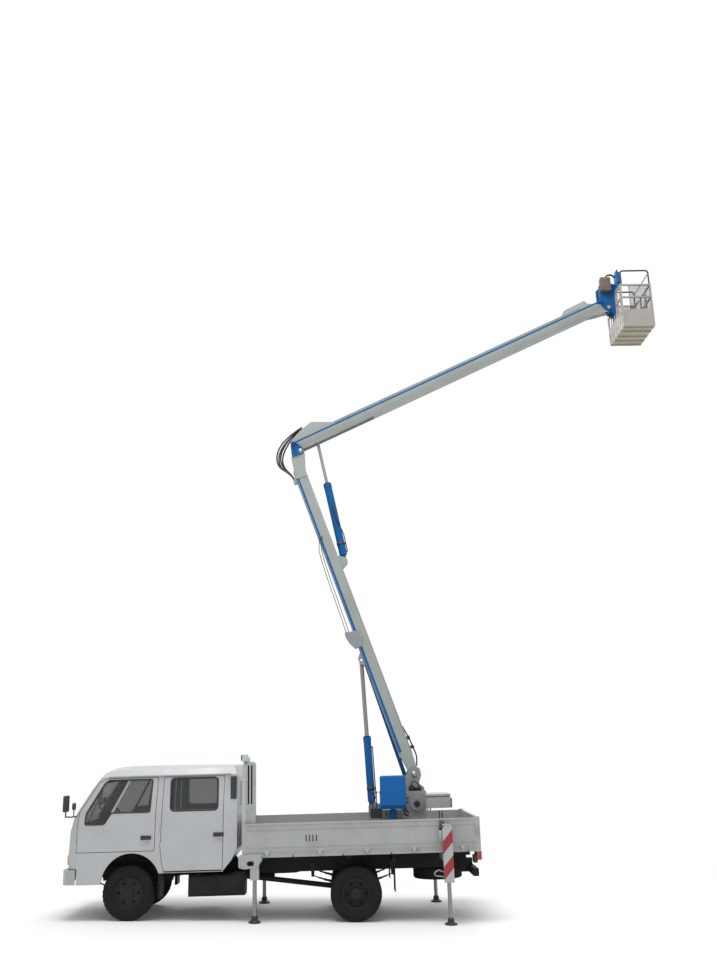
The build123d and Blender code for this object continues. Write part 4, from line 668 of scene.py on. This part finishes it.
def lower_mid(along):
    """The middle of the lower arm's box, square to its pin line."""
    return 0.014 + (along - 0.300) * 0.0233


def made_on_arm(name, bm, axes, material, body, smooth=True, bevel=0.0):
    """The bmesh, drawn in an arm's axes, as a piece that rides on a body."""
    bmesh.ops.transform(bm, matrix=axes, verts=bm.verts)
    return made(name, bm, material, body, smooth=smooth, bevel=bevel)


def arm_seams(name, axes, half, ends, body):
    """Weld seams along an arm's sides; ends are (along, the seams' places square to the arm)."""
    bm = bmesh.new()
    for sign in (-1, 1):
        for start, end in zip(ends[0][1], ends[1][1]):
            add_rod(bm, (ends[0][0], sign * half, start), (ends[1][0], sign * half, end), 0.004, 8)
    made_on_arm(name, bm, axes, arm_grey_painted_shade, body)


def pin_caps(name, centre, half, radius, body, bolts=2):
    """A keeper plate and bolts on both ends of a cross pin."""
    bm = bmesh.new()
    for sign in (-1, 1):
        add_rod(bm, (centre[0], sign * half, centre[1]), (centre[0], sign * (half + 0.006), centre[1]),
                radius, 24)
        for k in range(bolts):
            angle = 2 * pi * k / bolts + 0.6
            spot = (centre[0] + radius * 0.62 * cos(angle), centre[1] + radius * 0.62 * sin(angle))
            add_rod(bm, (spot[0], sign * half, spot[1]), (spot[0], sign * (half + 0.014), spot[1]), 0.007, 6)
    return made(name, bm, zinc, body)


# weld seams, blue edge bands and hose guides on the arms
SEAM = 0.088
LOWER_ENDS = [(along, (lower_mid(along) - SEAM, lower_mid(along) + SEAM)) for along in (0.33, 5.30)]
arm_seams("lower_seams", LOWER, LOWER_HALF - 0.0005, LOWER_ENDS, "lower_boom")
arm_seams("upper_seams", UPPER, UPPER_HALF - 0.0005, [(along, (0.040, 0.224)) for along in (0.74, 5.68)],
          "upper_boom")
BAND = [(along, lower_mid(along) + up)
        for along, up in ((0.380, 0.052), (5.200, 0.052), (5.200, 0.100), (0.380, 0.100))]
bm = bmesh.new()
for sign in (-1, 1):
    add_plate(bm, BAND, sign * (LOWER_HALF + 0.0003), sign * (LOWER_HALF + 0.0018))
made_on_arm("edge_bands", bm, LOWER, crane_blue, "lower_boom", smooth=False)
GUIDE = [(2.150, 0.118), (2.260, 0.088), (2.420, 0.130), (2.430, 0.225), (2.452, 0.300), (2.385, 0.318),
         (2.250, 0.286), (2.140, 0.225)]
bm = bmesh.new()
for y0, y1 in ((-0.176, -0.168), (-0.107, -0.0990)):
    add_plate(bm, GUIDE, y0, y1)
add_box(bm, (2.170, 2.400), (-0.170, -0.101), (0.126, 0.136))
for along, up in ((2.225, 0.225), (2.400, 0.240)):
    add_rod(bm, (along, -0.170, up), (along, -0.101, up), 0.016, 16)
made_on_arm("guide_bracket", bm, LOWER, bracket_grey, "lower_boom", smooth=False, bevel=0.003)
bm = bmesh.new()
for up, y in ((0.240, -0.160), (0.282, -0.150)):
    points = [(2.26, y, up), (2.9, y, up), (3.5, y, up), (3.86, y + 0.004, up - 0.02),
              (4.10, -0.112, up - 0.11)]
    add_tube(bm, smooth_path(points, 6), 0.0055, 8)
made_on_arm("guide_hoses", bm, LOWER, black_rubber, "lower_boom")
bm = bmesh.new()
add_box(bm, (0.375, 0.425), (-0.070, -0.030), (-0.150, -0.085))
add_box(bm, (0.520, 0.580), (-0.070, -0.040), (-0.135, -0.080))
made_on_arm("foot_fittings", bm, LOWER, cast_dark, "lower_boom", smooth=False, bevel=0.006)
bm = bmesh.new()
for y in (-0.05, -0.02):
    points = [(0.10, y, -0.085), (0.24, y, -0.135), (0.40, y, -0.130), (0.56, y, -0.115), (0.75, y, -0.078)]
    add_tube(bm, smooth_path(points, 6), 0.010, 8)
made_on_arm("foot_hoses", bm, LOWER, black_rubber, "lower_boom")

# pins
pin_caps("lift_pin_caps", LIFT_PIN, 0.134, 0.045, "turret", 3)
pin_caps("elbow_pin_caps", ELBOW_PIN, 0.125, 0.042, "elbow_plate", 3)
pin_caps("basket_pin_caps", BASKET_PIN, 0.130, 0.036, "basket_pin", 3)

# cylinders: gland nuts, ports, pipes and bands
# each pipe: how far along the barrel, and turned how far from its rear towards the near side
LOWER_PIPE = ((0.16, 0), (0.24, 0), (0.845, 0), (0.925, 0))
UPPER_PIPE = ((0.16, 0), (0.24, 0), (0.46, 0), (0.68, 70), (0.88, 90), (0.95, 90))
CYLINDERS = (      # name, barrel's pin, rod's pin, barrel's length and radius, pipe
    ("lower", Vector((3.600, 0, 1.400)), LOWER @ Vector((1.954, 0, 0.190)), 1.085, 0.060, LOWER_PIPE),
    ("upper", Vector((3.258, 0, 5.343)), UPPER @ Vector((0.360, 0, 0.120)), 1.370, 0.066, UPPER_PIPE),
)
for name, foot, eye, barrel, radius, pipe in CYLINDERS:
    body = name + "_cylinder"
    run = (eye - foot).normalized()
    near_side = Vector((0, -1, 0))
    rear = Vector((0, 1, 0)).cross(run)
    ways = [rear * cos(radians(turn)) + near_side * sin(radians(turn)) for step, turn in pipe]
    bm = bmesh.new()
    add_rod(bm, foot + run * (barrel - 0.002), foot + run * (barrel + 0.018), radius - 0.008, 24)
    for end in (0, -1):
        port = foot + run * pipe[end][0]
        add_rod(bm, port + ways[end] * (radius - 0.006), port + ways[end] * (radius + 0.020), 0.014, 12)
    made(name + "_cylinder_ports", bm, cast_dark, body)
    bm = bmesh.new()
    pipe_path = [foot + run * step + way * (radius + 0.014) for (step, turn), way in zip(pipe, ways)]
    add_tube(bm, smooth_path(pipe_path, 6), 0.009, 10)
    made(name + "_cylinder_pipe", bm, black_rubber, body)
    bm = bmesh.new()
    band = [(-0.020, radius + 0.001), (-0.020, radius + 0.006), (0.020, radius + 0.006),
            (0.020, radius + 0.001)]
    add_lathe(bm, band, (0, 0, 0), 32)
    turned = Matrix.Translation(foot + run * 0.30) @ run.to_track_quat("Y", "Z").to_matrix().to_4x4()
    bmesh.ops.transform(bm, matrix=turned, verts=bm.verts)
    made(name + "_cylinder_band", bm, black_trim, body)

# ---------------------------------------------------------------- elbow hoses
# clamps on the lower and upper arm
HOSE_FOOT, HOSE_END = (5.190, lower_mid(5.190) + 0.133), (0.200, 0.384)
# corners, out from the elbow's pin
HOSE_LOOP = ((-0.375, -0.235), (-0.350, 0.060))
HOSE_ROUTE = [
    LOWER @ Vector((HOSE_FOOT[0] + 0.0003, 0, HOSE_FOOT[1])),
    LOWER @ Vector((HOSE_FOOT[0] + 0.090, 0, HOSE_FOOT[1])),
    *[Vector((ELBOW_PIN[0] + x, 0, ELBOW_PIN[1] + z)) for x, z in HOSE_LOOP],
    UPPER @ Vector((HOSE_END[0] - 0.110, 0, HOSE_END[1])),
    UPPER @ Vector((HOSE_END[0] - 0.0003, 0, HOSE_END[1])),
]
HOSE_RADIUS = 0.0135
# across, and out at the loop
HOSE_FAN = ((-0.060, 0.046), (-0.025, -0.016), (0.010, 0.016), (0.045, -0.046))


def nurbs_path(points):
    """Points along the smooth line that a route's control points give."""
    curve = bpy.data.curves.new("route", "CURVE")
    curve.dimensions = "3D"
    spline = curve.splines.new("NURBS")
    spline.points.add(len(points) - 1)
    for target, spot in zip(spline.points, points):
        target.co = (*spot, 1)
    spline.order_u = 3
    spline.use_endpoint_u = True
    curve.resolution_u = 16
    holder = bpy.data.objects.new("route", curve)
    mesh = bpy.data.meshes.new_from_object(holder)
    path = [v.co.copy() for v in mesh.vertices]
    bpy.data.objects.remove(holder)
    bpy.data.curves.remove(curve)
    bpy.data.meshes.remove(mesh)
    return path


for number, (y, out) in enumerate(HOSE_FAN):
    route = [p + Vector((0, y, 0)) for p in HOSE_ROUTE]
    route[2] += Vector((-out, 0, -out * 0.5))
    route[3] += Vector((-out, 0, out * 0.5))
    path = nurbs_path([TRUCK @ p for p in route])
    bm = bmesh.new()
    add_tube(bm, path, HOSE_RADIUS, 12)
    hose = made("elbow_hose_" + str(number + 1), bm, black_rubber, None, in_truck=False)
    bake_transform(hose)
    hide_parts("elbow_hoses")

# ---------------------------------------------------------------- turret and its controls
repaint("turret", cast_dark, lambda p: abs(p.y) < 0.315 and p.z < 1.241)
GEAR = (4.282, 1.470)
bm = bmesh.new()
for k in range(12):
    angle = 2 * pi * k / 12
    x, z = GEAR[0] + 0.086 * cos(angle), GEAR[1] + 0.086 * sin(angle)
    add_rod(bm, (x, -0.329, z), (x, -0.341, z), 0.009, 6)
made("gear_flange_bolts", bm, zinc, "turret", smooth=False)
bm = bmesh.new()
add_rod(bm, (GEAR[0], -0.329, GEAR[1]), (GEAR[0], -0.348, GEAR[1]), 0.045, 24)
add_rod(bm, (4.215, -0.215, 1.654), (4.215, -0.215, 1.725), 0.045, 20)
add_rod(bm, (4.315, -0.205, 1.654), (4.315, -0.205, 1.705), 0.055, 20)
add_rod(bm, (4.215, -0.215, 1.725), (4.215, -0.215, 1.745), 0.020, 12)
made("gear_motor", bm, cast_dark, "turret", bevel=0.004)
tube("motor_hose_a", [(4.215, -0.215, 1.745), (4.235, -0.225, 1.790), (4.300, -0.220, 1.775),
                      (4.345, -0.190, 1.700), (4.352, -0.170, 1.654)],
     0.010, black_rubber, "turret")
tube("motor_hose_b", [(4.150, -0.302, 1.560), (4.110, -0.345, 1.540), (4.095, -0.350, 1.450),
                      (4.110, -0.330, 1.380), (4.150, -0.300, 1.350)],
     0.011, black_rubber, "turret")
tube("motor_hose_c", [(4.140, -0.300, 1.500), (4.085, -0.350, 1.470), (4.075, -0.350, 1.380),
                      (4.090, -0.330, 1.320), (4.140, -0.300, 1.300)],
     0.011, black_rubber, "turret")
boxes("valve_block", [((3.740, 4.040), (-0.330, -0.220), (1.2755, 1.395))], turret_grey, "turret", 0.006)
louvres = [((x, x + 0.014), (-0.333, -0.329), (1.300, 1.375)) for x in (3.80, 3.85, 3.90, 3.95)]
boxes("valve_louvres", louvres, black_rubber, "turret")
bm = bmesh.new()
for x in (3.60, 3.66, 3.72):
    add_rod(bm, (x, -0.260, 1.275), (x, -0.275, 1.640), 0.008, 10)
    add_ball(bm, (x, -0.275, 1.650), 0.018)
made("control_levers", bm, black_trim, "turret")
boxes("lever_box", [((3.560, 3.745), (-0.325, -0.200), (1.2755, 1.420))], black_trim, "turret", 0.006)

# ---------------------------------------------------------------- rear box on the turret
boxes("rear_box_lid", [((4.426, 4.806), (-0.306, 0.306), (1.568, 1.604))], bed_white_painted_shade, "turret", 0.006)
boxes("rear_box_seam", [((4.428, 4.803), (-0.303, 0.303), (1.558, 1.566))], black_rubber, "turret")
repaint("equipment_box", lamp_red, lambda p: p.x > 4.801)

# ---------------------------------------------------------------- tip and basket
PIN = Vector((BASKET_PIN[0], 0, BASKET_PIN[1]))
repaint("basket", crane_blue,
        lambda p: (p.x < 8.250 or p.z > 10.155) and p.x < 8.300 and abs(p.y) < 0.19 and p.z > 9.70)
repaint("basket", rust_brown, lambda p: p.x < 8.19 and -0.195 < p.y < -0.1045 and p.z > PIN.z + 0.306)
repaint("basket", crane_blue, lambda p: 8.250 < p.x < 8.325 and -0.335 < p.y < -0.135 and p.z > 10.155)
repaint("basket", black_trim, lambda p: p.z > 10.17 and abs(p.y) > 0.40)
repaint("basket", basket_floor_grey, lambda p: p.x > 8.250 and p.z < 9.3455)
repaint("upper_boom", bed_white_painted_shade, lambda p: (UPPER_BACK @ p).z > 0.2455 and (UPPER_BACK @ p).x > 5.0)
bm = bmesh.new()
LOW, HIGH = 9.660, 10.124
for sign in (-1, 1):
    for x in [8.426 + 0.016 * step for step in range(23)]:
        add_rod(bm, (x, sign * 0.436, LOW), (x, sign * 0.436, HIGH), 0.0032, 6)
    for z in [LOW + 0.029 * step for step in range(17)]:
        add_rod(bm, (8.412, sign * 0.4385, z), (8.790, sign * 0.4385, z), 0.0025, 6)
    add_rod(bm, (8.412, sign * 0.436, LOW), (8.412, sign * 0.436, HIGH), 0.006, 8)
made("basket_mesh", bm, mesh_brown, "basket")
bm = bmesh.new()
for y in (-0.29, -0.25, -0.21, -0.17):
    add_rod(bm, (8.290, y, 10.452), (8.282, y, 10.500), 0.006, 10)
    add_ball(bm, (8.281, y, 10.504), 0.013)
made("basket_levers", bm, black_trim, "basket")
bm = bmesh.new()
for y in (-0.165, -0.135):
    points = [(8.105, y, 10.418), (8.120, y, 10.462), (8.190, y - 0.03, 10.468), (8.240, y - 0.05, 10.425),
              (8.255, y - 0.055, 10.395)]
    add_tube(bm, smooth_path(points, 8), 0.010, 10)
made("basket_hoses", bm, black_rubber, "basket")

# ---------------------------------------------------------------- the stage
FADE_FROM, FADE_TO = 5.5, 11.0      # the floor turns white between these distances from the middle
floor_mesh = bpy.data.meshes.new("floor")
floor_mesh.from_pydata([(-60, -60, 0), (60, -60, 0), (60, 90, 0), (-60, 90, 0)], [], [(0, 1, 2, 3)])
floor = bpy.data.objects.new("floor", floor_mesh)
bpy.context.collection.objects.link(floor)
floor_pale = principled("floor_pale", (0.82, 0.82, 0.815), 0.9, specular=0.1)
tree = floor_pale.node_tree
where = tree.nodes.new("ShaderNodeTexCoord")
reach = tree.nodes.new("ShaderNodeVectorMath")
reach.operation = "LENGTH"
fade = tree.nodes.new("ShaderNodeMapRange")
fade.interpolation_type = "SMOOTHSTEP"
fade.inputs["From Min"].default_value = FADE_FROM
fade.inputs["From Max"].default_value = FADE_TO
paths = tree.nodes.new("ShaderNodeLightPath")
seen_far = tree.nodes.new("ShaderNodeMath")
seen_far.operation = "MULTIPLY"
paper = tree.nodes.new("ShaderNodeEmission")
blend = tree.nodes.new("ShaderNodeMixShader")
tree.links.new(where.outputs["Object"], reach.inputs[0])
tree.links.new(reach.outputs["Value"], fade.inputs["Value"])
tree.links.new(fade.outputs["Result"], seen_far.inputs[0])
tree.links.new(paths.outputs["Is Camera Ray"], seen_far.inputs[1])
tree.links.new(seen_far.outputs["Value"], blend.inputs["Fac"])
tree.links.new(tree.nodes["Principled BSDF"].outputs["BSDF"], blend.inputs[1])
tree.links.new(paper.outputs["Emission"], blend.inputs[2])
tree.links.new(blend.outputs["Shader"], tree.nodes["Material Output"].inputs["Surface"])
floor_mesh.materials.append(floor_pale)

world = bpy.data.worlds.new("soft_sky")
world.use_nodes = True
sky = world.node_tree
sky.nodes["Background"].inputs["Color"].default_value = (0.96, 0.98, 1.0, 1)
sky.nodes["Background"].inputs["Strength"].default_value = 0.76
white = sky.nodes.new("ShaderNodeBackground")
white.inputs["Color"].default_value = (1, 1, 1, 1)
white.inputs["Strength"].default_value = 1.0
rays = sky.nodes.new("ShaderNodeLightPath")
seen = sky.nodes.new("ShaderNodeMath")
seen.operation = "MAXIMUM"
either = sky.nodes.new("ShaderNodeMath")
either.operation = "MAXIMUM"
choice = sky.nodes.new("ShaderNodeMixShader")
sky.links.new(rays.outputs["Is Camera Ray"], seen.inputs[0])
sky.links.new(rays.outputs["Is Glossy Ray"], seen.inputs[1])
sky.links.new(seen.outputs["Value"], either.inputs[0])
sky.links.new(rays.outputs["Is Transmission Ray"], either.inputs[1])
sky.links.new(either.outputs["Value"], choice.inputs["Fac"])
sky.links.new(sky.nodes["Background"].outputs["Background"], choice.inputs[1])
sky.links.new(white.outputs["Background"], choice.inputs[2])
sky.links.new(choice.outputs["Shader"], sky.nodes["World Output"].inputs["Surface"])
bpy.context.scene.world = world


def area_light(name, place, aim, size, power, colour):
    """A square lamp that looks at a place."""
    lamp = bpy.data.lights.new(name, "AREA")
    lamp.size = size
    lamp.energy = power
    lamp.color = colour
    holder = bpy.data.objects.new(name, lamp)
    bpy.context.collection.objects.link(holder)
    holder.location = place
    holder.rotation_euler = (Vector(aim) - Vector(place)).to_track_quat("-Z", "Y").to_euler()


area_light("above", (-3, -5, 19), (0, 0, 3), 9, 2300, (1, 0.99, 0.97))
area_light("behind", (2, 14, 16), (1, 0, 4), 9, 900, (0.97, 0.98, 1))

# ---------------------------------------------------------------- the camera
# the photo's camera: turned in radians, focal length and height in pixels, place in the truck's axes
yaw, pitch, roll = 0.0183, 0.2746, 0.003
FOCAL, PHOTO_HEIGHT = 970.17, 955
PLACE = (3.0436 - ORIGIN_X, -16.0476, 2.3737)
ahead = Vector((sin(yaw) * cos(pitch), cos(yaw) * cos(pitch), sin(pitch)))
across = Vector((cos(yaw), -sin(yaw), 0))
over = across.cross(ahead)
right = across * cos(roll) + over * sin(roll)
up = over * cos(roll) - across * sin(roll)
camera_data = bpy.data.cameras.new("camera")
camera_data.sensor_width = 36
camera_data.lens = 36 * FOCAL / PHOTO_HEIGHT
camera = bpy.data.objects.new("camera", camera_data)
bpy.context.collection.objects.link(camera)
turned = Matrix((right, up, -ahead)).transposed().to_4x4()
camera.matrix_world = Matrix.Translation(PLACE) @ turned
bpy.context.scene.camera = camera
bpy.context.scene.view_settings.view_transform = "Standard"
